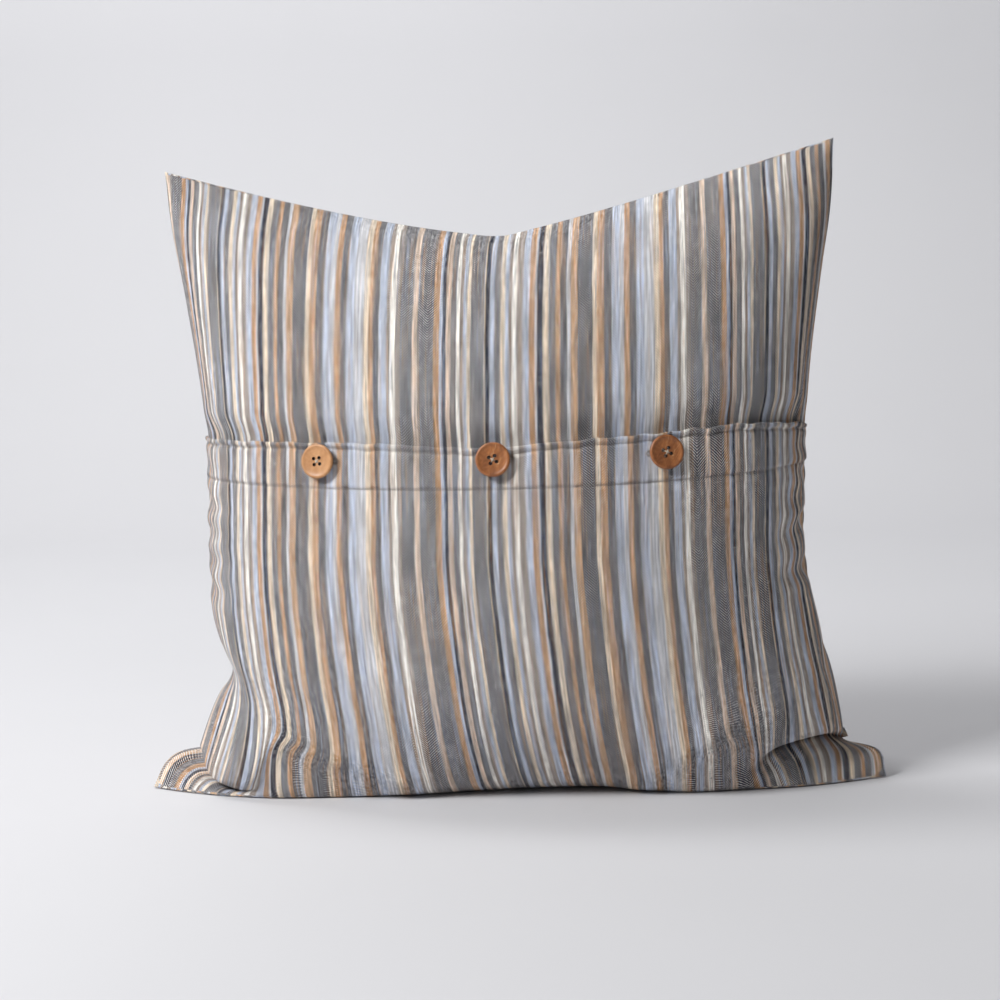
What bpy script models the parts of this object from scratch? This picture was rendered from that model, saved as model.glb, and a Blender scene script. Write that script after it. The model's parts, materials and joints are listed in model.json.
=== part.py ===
"""Square throw pillow: a buttoned cover over a ticking insert filled with fibre.

The pillow stands on its bottom edge. +X runs along the width, -Y is the buttoned front,
+Z is up, and the origin is on the floor under the middle of the pillow.
Each cloth layer is a thin closed shell laid at its own depth under one cushion surface,
so the layers nest one inside the other as the sewn pieces do.
"""

import math

import bmesh
import bpy
import numpy as np
from mathutils import Matrix, Vector

# --- the cover as it is cut, laid flat (metres) ---
PANEL = 0.508            # finished square, seam to seam
FREE_EDGE = 0.326        # folded edge of the lower front panel, above the bottom seam
BAND_HEIGHT = 0.038      # buttonhole band, down from the free edge
EDGE_STITCH = 0.005      # topstitching below the free edge
LOWER_STITCH = 0.035     # second row of topstitching below the free edge
# each button's centre: across from the middle, and below the free edge
BUTTON_PLACES = {"left": (-0.1250, 0.0118), "middle": (-0.0023, 0.0102), "right": (0.1145, 0.0094)}

# --- the filled cushion ---
EAR_HALF = 0.254         # half width at the bottom corners
WAIST_HALF = 0.207       # half width where the sides pull in most
WAIST_HEIGHT = 0.170
TOP_HALF = 0.229         # half width at the top corners
TOP_MID = 0.378          # height of the top seam at its lowest, in the middle
TOP_LEFT = 0.428         # height of the top left corner
TOP_RIGHT = 0.437        # height of the top right corner
SIDE_AT_EDGE = 0.243     # height of the side seams where the free edge meets them
BELLY = 0.106            # half depth at the fullest point
BELLY_HEIGHT = 0.135
BELLY_SHARE = 0.42       # share of the flat cover below the fullest point
FLOOR_HALF = 0.067       # half depth of the patch that rests on the floor

# --- the insert inside it ---
INSERT_SIDE_GAP = 0.015  # insert to cover at the sides and top
INSERT_EAR_HALF = 0.203  # the insert does not reach into the corners of the cover
INSERT_TOP_HALF = 0.203
INSERT_FACE_GAP = 0.0072
INSERT_FLOOR_GAP = 0.0032

# --- cloth layers: depth below the cushion surface (outer, inner) ---
PANEL_LAYER = (0.0, 0.0012)
BAND_LAYER = (0.0, 0.0016)
UPPER_LAYER = (0.0019, 0.0031)
STAND_LAYER = (0.0034, 0.0044)
TICKING = 0.0008
TOUCH_GAP = 0.0004       # between pieces that are sewn or pressed together
SEAM_GAP = 0.0002        # each side of the seam plane
ALLOWANCE_START = 0.0039
ALLOWANCE_WIDTH = 0.0080
ALLOWANCE_HALF = 0.0005
THREAD_RADIUS = 0.0003

# --- buttons ---
BUTTON_RADIUS = 0.0115
BUTTON_THICK = 0.0030
BUTTON_RIM = 0.0022      # width of the raised rim
BUTTON_DISH = 0.0005     # how far the face is sunk inside the rim
HOLE_RADIUS = 0.00115
HOLE_OFFSET = 0.0020     # hole centres from the button's middle, both ways
BUTTON_LIFT = 0.0019     # button back above the band
BUTTON_ROLL = math.radians(14)
SHANK_RADIUS = 0.0012
SHANK_BASE = -0.0016
SHANK_TOP = 0.0016
CROSS_RADIUS = 0.00055
SLOT_LENGTH = 0.026
SLOT_WIDTH = 0.0034
STITCH_RIM = 0.0018      # width of the satin stitching round a buttonhole
STITCH_THICK = 0.0005


# --- grid lines on the flat cover ---
COLUMNS = [-0.254, -0.226, -0.198, -0.169, -0.140, -0.104, -0.075, -0.047, -0.018,
           0.018, 0.047, 0.075, 0.104, 0.140, 0.169, 0.198, 0.226, 0.254]
BAND_ROW = FREE_EDGE - BAND_HEIGHT
LOWER_ROWS = [0.0, 0.034, FLOOR_HALF, 0.092, 0.122, 0.154, 0.187, 0.220, 0.254,
              BAND_ROW - TOUCH_GAP]
UPPER_ROWS = [BAND_ROW, FREE_EDGE, 0.357, 0.388, 0.419, 0.449, 0.479, PANEL]
BACK_ROWS = LOWER_ROWS[:-1] + UPPER_ROWS

# --- plain colours: (red, green, blue), roughness ---
STRIPED_CLOTH = ((0.45, 0.43, 0.43), 0.9)
TICKING_CLOTH = ((0.82, 0.80, 0.76), 0.85)
FIBRE = ((0.92, 0.91, 0.88), 0.95)
TONAL_THREAD = ((0.50, 0.48, 0.46), 0.8)
CREAM_THREAD = ((0.80, 0.73, 0.62), 0.75)
COCONUT = ((0.42, 0.20, 0.07), 0.45)


def clear_scene():
    for item in list(bpy.data.objects):
        bpy.data.objects.remove(item, do_unlink=True)


def make_material(name, look):
    colour, roughness = look
    material = bpy.data.materials.new(name)
    material.use_nodes = True
    shader = material.node_tree.nodes["Principled BSDF"]
    shader.inputs["Base Color"].default_value = (*colour, 1.0)
    shader.inputs["Roughness"].default_value = roughness
    shader.inputs["Metallic"].default_value = 0.0
    return material


def add_object(name, mesh, look):
    mesh.materials.append(make_material(name, look))
    item = bpy.data.objects.new(name, mesh)
    bpy.context.collection.objects.link(item)
    return item


def mesh_from_bmesh(name, shape):
    bmesh.ops.recalc_face_normals(shape, faces=shape.faces)
    mesh = bpy.data.meshes.new(name)
    shape.to_mesh(mesh)
    shape.free()
    return mesh


# ---------------------------------------------------------------- cushion surface

class Cushion:
    """Outer surface of a filled square pillow, addressed by places on its flat cover."""

    def __init__(self, ear, waist, top, belly, floor, bottom, top_mid, top_left, top_right):
        self.ear = ear
        self.waist = waist
        self.top = top
        self.belly = belly
        self.floor = floor
        self.bottom = bottom
        self.top_mid = top_mid
        self.top_corner = {-1: top_left, 1: top_right}

    def middle_profile(self, up):
        """Half depth and height of the middle section at a flat height above the seam."""
        share = up / PANEL
        floor_end = FLOOR_HALF / PANEL
        if share <= floor_end:
            return self.floor * share / floor_end, self.bottom
        if share <= BELLY_SHARE:
            turn = quarter_turn(self.belly - self.floor, BELLY_HEIGHT - self.bottom,
                                (share - floor_end) / (BELLY_SHARE - floor_end), from_side=True)
            half = self.floor + (self.belly - self.floor) * math.sin(turn)
            return half, BELLY_HEIGHT - (BELLY_HEIGHT - self.bottom) * math.cos(turn)
        turn = quarter_turn(self.belly, self.top_mid - BELLY_HEIGHT,
                            (share - BELLY_SHARE) / (1 - BELLY_SHARE), from_side=False)
        rise = (self.top_mid - BELLY_HEIGHT) * math.sin(turn)
        return self.belly * math.cos(turn), BELLY_HEIGHT + rise

    def seam(self, up, side):
        """Half width and height of a side seam."""
        if up < FREE_EDGE:
            height = self.bottom + (SIDE_AT_EDGE - self.bottom) * up / FREE_EDGE
        else:
            share = (up - FREE_EDGE) / (PANEL - FREE_EDGE)
            height = SIDE_AT_EDGE + (self.top_corner[side] - SIDE_AT_EDGE) * share
        if height < WAIST_HEIGHT:
            share = (WAIST_HEIGHT - height) / (WAIST_HEIGHT - self.bottom)
            return self.waist + (self.ear - self.waist) * share ** 4, height
        share = (height - WAIST_HEIGHT) / (self.top_corner[side] - WAIST_HEIGHT)
        return self.waist + (self.top - self.waist) * share ** 2, height

    def point(self, across, up, face):
        """Place on the front (face -1) or back (face 1) for a place on the flat cover."""
        side = -1 if across < 0 else 1
        half_depth, middle_height = self.middle_profile(up)
        half_width, seam_height = self.seam(up, side)
        turn = quarter_turn(half_depth, half_width, abs(across) / (PANEL / 2), from_side=False,
                            start_flat=True)
        x = half_width * math.sin(turn)
        y = half_depth * math.cos(turn)
        power = 8.0 - 6.4 * min(1.0, up / 0.30)
        height = middle_height + (seam_height - middle_height) * (x / half_width) ** power
        if up <= FLOOR_HALF:
            height -= 0.002 * math.sin(math.pi * min(1.0, up / FLOOR_HALF))
        return Vector((side * x, face * y, max(height, self.bottom)))

    def outward(self, across, up, face):
        """Unit normal of the surface; along the seams it lies in the seam plane."""
        step = 0.004
        half = PANEL / 2
        at_side = abs(across) > half - 1e-6
        at_end = up < 1e-6 or up > PANEL - 1e-6
        low = max(0.0, up - step)
        high = min(PANEL, up + step)
        left = max(-half, across - step)
        right = min(half, across + step)
        if at_side or at_end:
            total = Vector((0, 0, 0))
            if at_side:
                along = self.point(across, high, 0) - self.point(across, low, 0)
                sign = 1 if across > 0 else -1
                total += Vector((sign * along.z, 0, -sign * along.x)).normalized()
            if at_end:
                along = self.point(right, up, 0) - self.point(left, up, 0)
                sign = 1 if up > PANEL / 2 else -1
                total += Vector((-sign * along.z, 0, sign * along.x)).normalized()
            return total.normalized()
        wide = self.point(right, up, face) - self.point(left, up, face)
        tall = self.point(across, high, face) - self.point(across, low, face)
        normal = wide.cross(tall).normalized()
        return normal if face < 0 else -normal

    def under(self, across, up, face, depth):
        """Place at a depth below the surface, kept off the seam plane."""
        place = self.point(across, up, face) - self.outward(across, up, face) * depth
        if place.y * face < SEAM_GAP:
            place.y = face * SEAM_GAP
        return place


def quarter_turn(half_depth, length, share, from_side, start_flat=False):
    """Angle at a share of the arc length of a quarter ellipse.

    With start_flat the angle starts at the face of the ellipse (half_depth) and ends at its
    side (length); otherwise it starts at the foot or the belly of the middle section.
    """
    turns = np.linspace(0.0, math.pi / 2, 181)
    if start_flat:
        first, second = length * np.sin(turns), half_depth * np.cos(turns)
    elif from_side:
        first, second = half_depth * np.sin(turns), -length * np.cos(turns)
    else:
        first, second = half_depth * np.cos(turns), length * np.sin(turns)
    steps = np.hypot(np.diff(first), np.diff(second))
    arc = np.concatenate(([0.0], np.cumsum(steps)))
    return float(np.interp(share * arc[-1], arc, turns))


COVER = Cushion(EAR_HALF, WAIST_HALF, TOP_HALF, BELLY, FLOOR_HALF, 0.0,
                TOP_MID, TOP_LEFT, TOP_RIGHT)
INSERT = Cushion(INSERT_EAR_HALF, WAIST_HALF - INSERT_SIDE_GAP, INSERT_TOP_HALF,
                 BELLY - INSERT_FACE_GAP, FLOOR_HALF - INSERT_FACE_GAP, INSERT_FLOOR_GAP,
                 TOP_MID - INSERT_SIDE_GAP, TOP_LEFT - 1.6 * INSERT_SIDE_GAP,
                 TOP_RIGHT - 1.6 * INSERT_SIDE_GAP)


# ---------------------------------------------------------------- cloth layers

def grid_points(shape, cushion, face, rows, depth, columns=COLUMNS):
    return [[shape.verts.new(cushion.under(across, up, face, depth)) for across in columns]
            for up in rows]


def skin(shape, grid):
    """Triangles over a grid, every cell split along the same diagonal."""
    for lower, upper in zip(grid, grid[1:]):
        for i in range(len(lower) - 1):
            shape.faces.new((lower[i], lower[i + 1], upper[i + 1]))
            shape.faces.new((lower[i], upper[i + 1], upper[i]))


def border(grid):
    """Vertices round the edge of a grid, in order."""
    right = [row[-1] for row in grid]
    left = [row[0] for row in grid]
    return grid[0] + right[1:] + grid[-1][-2::-1] + left[-2:0:-1]


def join_borders(shape, one, other):
    for i in range(len(one)):
        k = (i + 1) % len(one)
        shape.faces.new((one[i], one[k], other[k]))
        shape.faces.new((one[i], other[k], other[i]))


def cloth_layer(name, cushion, face, rows, depths, look, columns=COLUMNS):
    """A closed sheet of cloth between two depths below the cushion surface."""
    shape = bmesh.new()
    outer = grid_points(shape, cushion, face, rows, depths[0], columns)
    inner = grid_points(shape, cushion, face, rows, depths[1], columns)
    skin(shape, outer)
    skin(shape, inner)
    join_borders(shape, border(outer), border(inner))
    return add_object(name, mesh_from_bmesh(name, shape), look)


def fibre_fill(name, cushion, depth, look):
    """The lump of fibre, whose front and back meet at a narrow edge in the seam plane."""
    shape = bmesh.new()
    front = grid_points(shape, cushion, -1, BACK_ROWS, depth)
    back = grid_points(shape, cushion, 1, BACK_ROWS, depth)
    skin(shape, front)
    skin(shape, back)
    join_borders(shape, border(front), border(back))
    return add_object(name, mesh_from_bmesh(name, shape), look)


def strip(name, corners, look):
    """A closed bar through a list of four-cornered sections."""
    shape = bmesh.new()
    rings = [[shape.verts.new(place) for place in section] for section in corners]
    for ring, following in zip(rings, rings[1:]):
        for i in range(4):
            k = (i + 1) % 4
            shape.faces.new((ring[i], ring[k], following[k]))
            shape.faces.new((ring[i], following[k], following[i]))
    shape.faces.new(rings[0])
    shape.faces.new(rings[-1])
    return add_object(name, mesh_from_bmesh(name, shape), look)


def seam_section(across, up):
    """Cross-section of the raw edges inside a seam that stands in the seam plane."""
    outward = COVER.outward(across, up, -1)
    edge = COVER.point(across, up, 0)
    near = edge - outward * ALLOWANCE_START
    far = near - outward * ALLOWANCE_WIDTH
    thick = Vector((0, ALLOWANCE_HALF, 0))
    return [near - thick, near + thick, far + thick, far - thick]


def side_and_top_allowances():
    half = PANEL / 2
    for name, across in (("left", -half), ("right", half)):
        sections = [seam_section(across, up) for up in BACK_ROWS[1:-2]]
        strip(name + "_seam_allowance", sections, STRIPED_CLOTH)
    sections = [seam_section(across, PANEL) for across in COLUMNS[2:-2]]
    strip("top_seam_allowance", sections, STRIPED_CLOTH)


def bottom_allowance():
    """The bottom seam's raw edges lie flat on the cloth, pressed towards the back."""
    low = PANEL_LAYER[1] + TOUCH_GAP
    high = low + 2 * ALLOWANCE_HALF
    sections = []
    for across in COLUMNS[4:-4]:
        x = COVER.point(across, 0.0, 0).x
        sections.append([Vector((x, 0.0005, low)), Vector((x, 0.0005, high)),
                         Vector((x, ALLOWANCE_WIDTH, high)), Vector((x, ALLOWANCE_WIDTH, low))])
    strip("bottom_seam_allowance", sections, STRIPED_CLOTH)


def band_place(across, up, depth):
    """Place on the flat-faced cells of the band, whose rows are its two long edges."""
    column = max(i for i, line in enumerate(COLUMNS[:-1]) if line <= across + 1e-9)
    left, right = COLUMNS[column], COLUMNS[column + 1]
    u = (across - left) / (right - left)
    v = (up - BAND_ROW) / BAND_HEIGHT
    low_left = COVER.under(left, BAND_ROW, -1, depth)
    low_right = COVER.under(right, BAND_ROW, -1, depth)
    top_left = COVER.under(left, FREE_EDGE, -1, depth)
    top_right = COVER.under(right, FREE_EDGE, -1, depth)
    if u >= v:
        return low_left + (low_right - low_left) * u + (top_right - low_right) * v
    return low_left + (top_left - low_left) * v + (top_right - top_left) * u


def topstitch_row(name, below_edge):
    """A row of stitches as one thread, laid just proud of the band."""
    up = FREE_EDGE - below_edge
    slant = (up - BAND_ROW) / BAND_HEIGHT
    places = []
    for left, right in zip(COLUMNS[1:-2], COLUMNS[2:-1]):
        places.append(left)
        places.append(left + (right - left) * slant)
    places.append(COLUMNS[-2])
    curve = bpy.data.curves.new(name, "CURVE")
    curve.dimensions = "3D"
    curve.bevel_depth = THREAD_RADIUS
    curve.bevel_resolution = 2
    curve.use_fill_caps = True
    line = curve.splines.new("POLY")
    line.points.add(len(places) - 1)
    for dot, across in zip(line.points, places):
        place = band_place(across, up, -(THREAD_RADIUS + TOUCH_GAP))
        dot.co = (*place, 1.0)
    curve.materials.append(make_material(name, TONAL_THREAD))
    item = bpy.data.objects.new(name, curve)
    bpy.context.collection.objects.link(item)
    return item


# ---------------------------------------------------------------- buttons

def button_frame(across, below_edge):
    """Placement of a button: +X along the buttonhole, +Z out of the band, origin on it."""
    up = FREE_EDGE - below_edge
    centre = band_place(across, up, 0.0)
    reach = 0.008
    wide = band_place(across + reach, up, 0.0) - band_place(across - reach, up, 0.0)
    tall = band_place(across, up + reach, 0.0) - band_place(across, up - reach, 0.0)
    out = wide.cross(tall).normalized()
    right = wide.normalized()
    upward = out.cross(right)
    turn = Matrix((right, upward, out)).transposed()
    return Matrix.Translation(centre) @ turn.to_4x4()


def turned_button():
    """Lathe profile of a button: flat back, rounded edge, raised rim, sunk face."""
    face = BUTTON_THICK - BUTTON_DISH
    rim_in = BUTTON_RADIUS - BUTTON_RIM
    profile = [(0.0, 0.0), (BUTTON_RADIUS - 0.0012, 0.0), (BUTTON_RADIUS, 0.0010),
               (BUTTON_RADIUS, BUTTON_THICK - 0.0009), (BUTTON_RADIUS - 0.0008, BUTTON_THICK),
               (rim_in + 0.0005, BUTTON_THICK), (rim_in - 0.0006, face), (0.0, face)]
    shape = bmesh.new()
    dots = [shape.verts.new((radius, 0, height)) for radius, height in profile]
    edges = [shape.edges.new(pair) for pair in zip(dots, dots[1:])]
    bmesh.ops.spin(shape, geom=dots + edges, cent=(0, 0, 0), axis=(0, 0, 1),
                   angle=2 * math.pi, steps=28, use_duplicate=False)
    bmesh.ops.remove_doubles(shape, verts=shape.verts, dist=1e-6)
    mesh = mesh_from_bmesh("button", shape)
    mesh.shade_smooth()
    mesh.set_sharp_from_angle(angle=math.radians(40))
    return mesh


def cutter(name, mesh, frame):
    item = bpy.data.objects.new(name, mesh)
    bpy.context.collection.objects.link(item)
    item.matrix_world = frame
    item.hide_render = True
    item.display_type = "WIRE"
    return item


def boolean(item, other, operation):
    modifier = item.modifiers.new(operation.title(), "BOOLEAN")
    modifier.operation = operation
    modifier.solver = "EXACT"
    modifier.object = other


def hole_places():
    return [(x, y) for x in (-HOLE_OFFSET, HOLE_OFFSET) for y in (-HOLE_OFFSET, HOLE_OFFSET)]


def holes_mesh():
    shape = bmesh.new()
    for x, y in hole_places():
        bmesh.ops.create_cone(shape, cap_ends=True, segments=12, radius1=HOLE_RADIUS,
                              radius2=HOLE_RADIUS, depth=4 * BUTTON_THICK,
                              matrix=Matrix.Translation((x, y, 0)))
    return mesh_from_bmesh("button_holes", shape)


def staple_mesh(name, direction, rise):
    """Thread up through one hole, over the button's middle and down through the opposite one."""
    start = (-HOLE_OFFSET, -direction * HOLE_OFFSET)
    end = (HOLE_OFFSET, direction * HOLE_OFFSET)
    places = [(*start, TOUCH_GAP), (*start, rise), (0, 0, rise + CROSS_RADIUS / 2),
              (*end, rise), (*end, TOUCH_GAP)]
    curve = bpy.data.curves.new(name, "CURVE")
    curve.dimensions = "3D"
    curve.bevel_depth = CROSS_RADIUS
    curve.bevel_resolution = 2
    curve.use_fill_caps = True
    line = curve.splines.new("POLY")
    line.points.add(len(places) - 1)
    for dot, place in zip(line.points, places):
        dot.co = (*place, 1.0)
    guide = bpy.data.objects.new(name, curve)
    bpy.context.collection.objects.link(guide)
    depsgraph = bpy.context.evaluated_depsgraph_get()
    mesh = bpy.data.meshes.new_from_object(guide.evaluated_get(depsgraph))
    bpy.data.objects.remove(guide, do_unlink=True)
    return mesh


def cross_thread(name, frame):
    """Thread through the four holes: two staples that cross over the button's face."""
    rise = BUTTON_THICK - BUTTON_DISH + TOUCH_GAP + CROSS_RADIUS
    item = add_object(name, staple_mesh(name, 1, rise), CREAM_THREAD)
    item.matrix_world = frame
    second = staple_mesh(name + "_second", -1, rise + CROSS_RADIUS)
    boolean(item, cutter(name + "_second", second, frame), "UNION")


def thread_shank(name, frame):
    shape = bmesh.new()
    length = SHANK_TOP - SHANK_BASE
    bmesh.ops.create_cone(shape, cap_ends=True, segments=16, radius1=SHANK_RADIUS,
                          radius2=SHANK_RADIUS, depth=length,
                          matrix=Matrix.Translation((0, 0, length / 2)))
    mesh = mesh_from_bmesh(name, shape)
    mesh.shade_smooth()
    mesh.set_sharp_from_angle(angle=math.radians(40))
    item = add_object(name, mesh, CREAM_THREAD)
    item.matrix_world = frame @ Matrix.Translation((0, 0, SHANK_BASE))
    return item


def slot_outline(grow):
    """Round-ended outline of a buttonhole, grown all round."""
    radius = SLOT_WIDTH / 2 + grow
    straight = SLOT_LENGTH / 2 - SLOT_WIDTH / 2
    outline = []
    for end in (1, -1):
        for k in range(7):
            turn = -math.pi / 2 + math.pi * k / 6
            outline.append((end * (straight + radius * math.cos(turn)),
                            end * radius * math.sin(turn)))
    return outline


def buttonhole_stitching(name, frame):
    """Flat satin-stitched ring round a buttonhole."""
    shape = bmesh.new()
    low, high = TOUCH_GAP, TOUCH_GAP + STITCH_THICK
    loops = []
    for grow, height in ((0.0002, low), (0.0002, high), (STITCH_RIM, high), (STITCH_RIM, low)):
        loops.append([shape.verts.new((x, y, height)) for x, y in slot_outline(grow)])
    for loop, following in zip(loops, loops[1:] + loops[:1]):
        for i in range(len(loop)):
            k = (i + 1) % len(loop)
            shape.faces.new((loop[i], loop[k], following[k], following[i]))
    item = add_object(name, mesh_from_bmesh(name, shape), TONAL_THREAD)
    item.matrix_world = frame
    return item


def slot_cutter(name, frame):
    shape = bmesh.new()
    reach = 0.006
    loops = [[shape.verts.new((x, y, height)) for x, y in slot_outline(0.0)]
             for height in (-reach, reach)]
    for i in range(len(loops[0])):
        k = (i + 1) % len(loops[0])
        shape.faces.new((loops[0][i], loops[0][k], loops[1][k], loops[1][i]))
    shape.faces.new(loops[0])
    shape.faces.new(loops[1])
    return cutter(name, mesh_from_bmesh(name, shape), frame)


def add_buttons(band):
    button_mesh = turned_button()
    holes = holes_mesh()
    for place, (across, below_edge) in BUTTON_PLACES.items():
        frame = button_frame(across, below_edge)
        boolean(band, slot_cutter(place + "_slot_cutter", frame), "DIFFERENCE")
        buttonhole_stitching(place + "_buttonhole_stitching", frame)
        thread_shank(place + "_button_shank", frame)
        roll = Matrix.Rotation(BUTTON_ROLL, 4, "Z")
        seat = frame @ Matrix.Translation((0, 0, BUTTON_LIFT)) @ roll
        button = add_object(place + "_button", button_mesh.copy(), COCONUT)
        button.matrix_world = seat
        boolean(button, cutter(place + "_hole_cutter", holes, seat), "DIFFERENCE")
        cross_thread(place + "_button_cross_thread", seat)


def main():
    clear_scene()
    cloth_layer("cover_back_panel", COVER, 1, BACK_ROWS, PANEL_LAYER, STRIPED_CLOTH)
    cloth_layer("cover_lower_front_panel", COVER, -1, LOWER_ROWS, PANEL_LAYER, STRIPED_CLOTH)
    cloth_layer("cover_upper_front_panel", COVER, -1, UPPER_ROWS, UPPER_LAYER, STRIPED_CLOTH)
    cloth_layer("button_stand", COVER, -1, UPPER_ROWS[:2], STAND_LAYER, STRIPED_CLOTH,
                COLUMNS[1:-1])
    band = cloth_layer("buttonhole_band", COVER, -1, UPPER_ROWS[:2], BAND_LAYER, STRIPED_CLOTH)
    cloth_layer("insert_back_shell", INSERT, 1, BACK_ROWS, (0.0, TICKING), TICKING_CLOTH)
    cloth_layer("insert_front_shell", INSERT, -1, BACK_ROWS, (0.0, TICKING), TICKING_CLOTH)
    fibre_fill("fibre_fill", INSERT, TICKING + TOUCH_GAP, FIBRE)
    side_and_top_allowances()
    bottom_allowance()
    topstitch_row("band_edge_topstitch", EDGE_STITCH)
    topstitch_row("band_lower_topstitch", LOWER_STITCH)
    add_buttons(band)


main()
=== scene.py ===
"""The striped throw pillow, dressed: cloth, seams, stitching, buttons, camera and light."""
import json
import math

import bmesh
import bpy
import numpy as np
from mathutils import Matrix, Vector
from mathutils.bvhtree import BVHTree


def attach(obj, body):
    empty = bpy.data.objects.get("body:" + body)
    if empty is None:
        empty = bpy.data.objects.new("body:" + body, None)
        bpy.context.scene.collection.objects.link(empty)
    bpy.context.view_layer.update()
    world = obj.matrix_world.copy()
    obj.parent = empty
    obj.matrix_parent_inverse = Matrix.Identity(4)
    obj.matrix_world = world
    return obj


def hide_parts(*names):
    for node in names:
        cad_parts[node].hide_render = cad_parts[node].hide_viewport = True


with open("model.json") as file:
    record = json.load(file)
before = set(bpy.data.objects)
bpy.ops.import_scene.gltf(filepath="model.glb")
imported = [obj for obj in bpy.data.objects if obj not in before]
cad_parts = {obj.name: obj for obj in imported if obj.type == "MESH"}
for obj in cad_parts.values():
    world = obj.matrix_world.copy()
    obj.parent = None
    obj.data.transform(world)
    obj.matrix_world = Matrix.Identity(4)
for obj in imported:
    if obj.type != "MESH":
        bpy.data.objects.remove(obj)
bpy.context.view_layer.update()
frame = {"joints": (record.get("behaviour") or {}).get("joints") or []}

# --- the cover, laid flat (metres); across runs -HALF..HALF, up runs 0..PANEL ---
PANEL = 0.508
HALF = PANEL / 2
FREE_EDGE = 0.330        # folded edge of the lower front panel
HEM = 0.0335             # free edge to the lower row of stitches
EDGE_STITCH = 0.0050     # free edge to the upper row of stitches
UNDERLAP = 0.042         # how far the upper panel runs down behind the band
CLOTH = 0.0007

# --- the middle section of the filled cushion ---
TOP_MID = 0.3765
BELLY = 0.106
BELLY_HEIGHT = 0.135
BELLY_SHARE = 0.42
FLOOR_HALF = 0.060

# --- outline of the seams, in the seam plane: flat height or place, then x and z ---
LEFT_SEAM = [(0.000, -0.2525, 0.0015), (0.030, -0.243, 0.014), (0.058, -0.223, 0.026),
             (0.088, -0.216, 0.053), (0.118, -0.1980, 0.0755), (0.150, -0.206, 0.098),
             (0.190, -0.2105, 0.128), (0.235, -0.2110, 0.168), (0.285, -0.2100, 0.208),
             (FREE_EDGE, -0.2095, 0.245), (0.375, -0.2140, 0.290), (0.420, -0.2205, 0.336),
             (0.465, -0.2285, 0.385), (PANEL, -0.2325, 0.4275)]
RIGHT_SEAM = [(0.000, 0.2530, 0.0015), (0.030, 0.240, 0.016), (0.055, 0.222, 0.022),
              (0.080, 0.2275, 0.040), (0.110, 0.221, 0.064), (0.145, 0.2130, 0.093),
              (0.190, 0.2045, 0.132), (0.230, 0.201, 0.166), (0.280, 0.2025, 0.207),
              (FREE_EDGE, 0.2035, 0.245), (0.375, 0.2085, 0.294), (0.420, 0.2155, 0.343),
              (0.465, 0.2230, 0.391), (PANEL, 0.2260, 0.4370)]
TOP_POWER = {-1: 1.35, 1: 1.1}
EAR_FORWARD = 0.022      # how far the bottom corners lie in front of the seam plane
LEAN = 0.0095            # sideways lean of the lower front panel at LEAN_UP
LEAN_UP = 0.13
LEAN_TOP = 0.25

# --- cloth relaxation ---
COARSE = 32
LEVELS = 3
SPARE = 0.025            # cloth length over what the shape needs, as a share
LOW_SIDE_SPARE = 0.050   # the same beside the lower half of each side seam
PASSES = (160, 160, 120)
FLOOR_GAP = 0.0008       # least height of the cloth's middle over the floor
FINE = 254               # cells of the finished grid

# --- pieces inside the cover ---
STAND_DEPTH = 0.0062     # how far the button stand lies behind the front
RAW_FROM = 0.165         # the side seam allowances start this far up the seam
RAW_MARGIN = 0.030       # and stop this far short of the corners
RAW_BOTTOM_HALF = 0.15


# ------------------------------------------------------------------ cushion shape

def smooth_curve(points, where):
    """Values at given places of a smooth curve through rows that start with their place."""
    points = np.array(points)
    place, values = points[:, 0], points[:, 1:]
    slopes = np.gradient(values, place, axis=0)
    k = np.clip(np.searchsorted(place, where, side="right") - 1, 0, len(place) - 2)
    span = (place[k + 1] - place[k])[:, None]
    u = ((where - place[k])[:, None]) / span
    return ((2 * u ** 3 - 3 * u ** 2 + 1) * values[k] + (u ** 3 - 2 * u ** 2 + u) * span * slopes[k]
            + (-2 * u ** 3 + 3 * u ** 2) * values[k + 1] + (u ** 3 - u ** 2) * span * slopes[k + 1])


def quarter_turn(first, second, share):
    """Angles at shares of the arc length of a quarter ellipse with these two coordinates."""
    turns = np.linspace(0.0, math.pi / 2, 181)
    steps = np.hypot(np.diff(first(turns)), np.diff(second(turns)))
    arc = np.concatenate(([0.0], np.cumsum(steps)))
    return np.interp(np.asarray(share) * arc[-1], arc, turns)


def natural_shares(shares, width, half_depth):
    """Cloth keeps its own width in the middle, and gathers towards the side seams."""
    turns = np.linspace(0.0, math.pi / 2, 61)
    arc = np.sum(np.hypot(np.diff(width * np.sin(turns)), np.diff(half_depth * np.cos(turns))))
    excess = min(max(HALF / arc, 1.0), 1.14)
    return excess * shares - (excess - 1.0) * shares ** 3


def bump_at(value, centre, spread):
    return np.exp(-((value - centre) / spread) ** 2)


def middle_profile(up):
    """Half depth and height of the middle section at a flat height."""
    share = up / PANEL
    floor_end = FLOOR_HALF / PANEL
    if share <= floor_end:
        return up, 0.0
    if share <= BELLY_SHARE:
        grow = BELLY - FLOOR_HALF
        turn = quarter_turn(lambda q: grow * np.sin(q), lambda q: -BELLY_HEIGHT * np.cos(q),
                            (share - floor_end) / (BELLY_SHARE - floor_end))
        return FLOOR_HALF + grow * math.sin(turn), BELLY_HEIGHT * (1 - math.cos(turn))
    rise = TOP_MID - BELLY_HEIGHT
    turn = quarter_turn(lambda q: BELLY * np.cos(q), lambda q: rise * np.sin(q),
                        (share - BELLY_SHARE) / (1 - BELLY_SHARE))
    return BELLY * math.cos(turn), BELLY_HEIGHT + rise * math.sin(turn)


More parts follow.
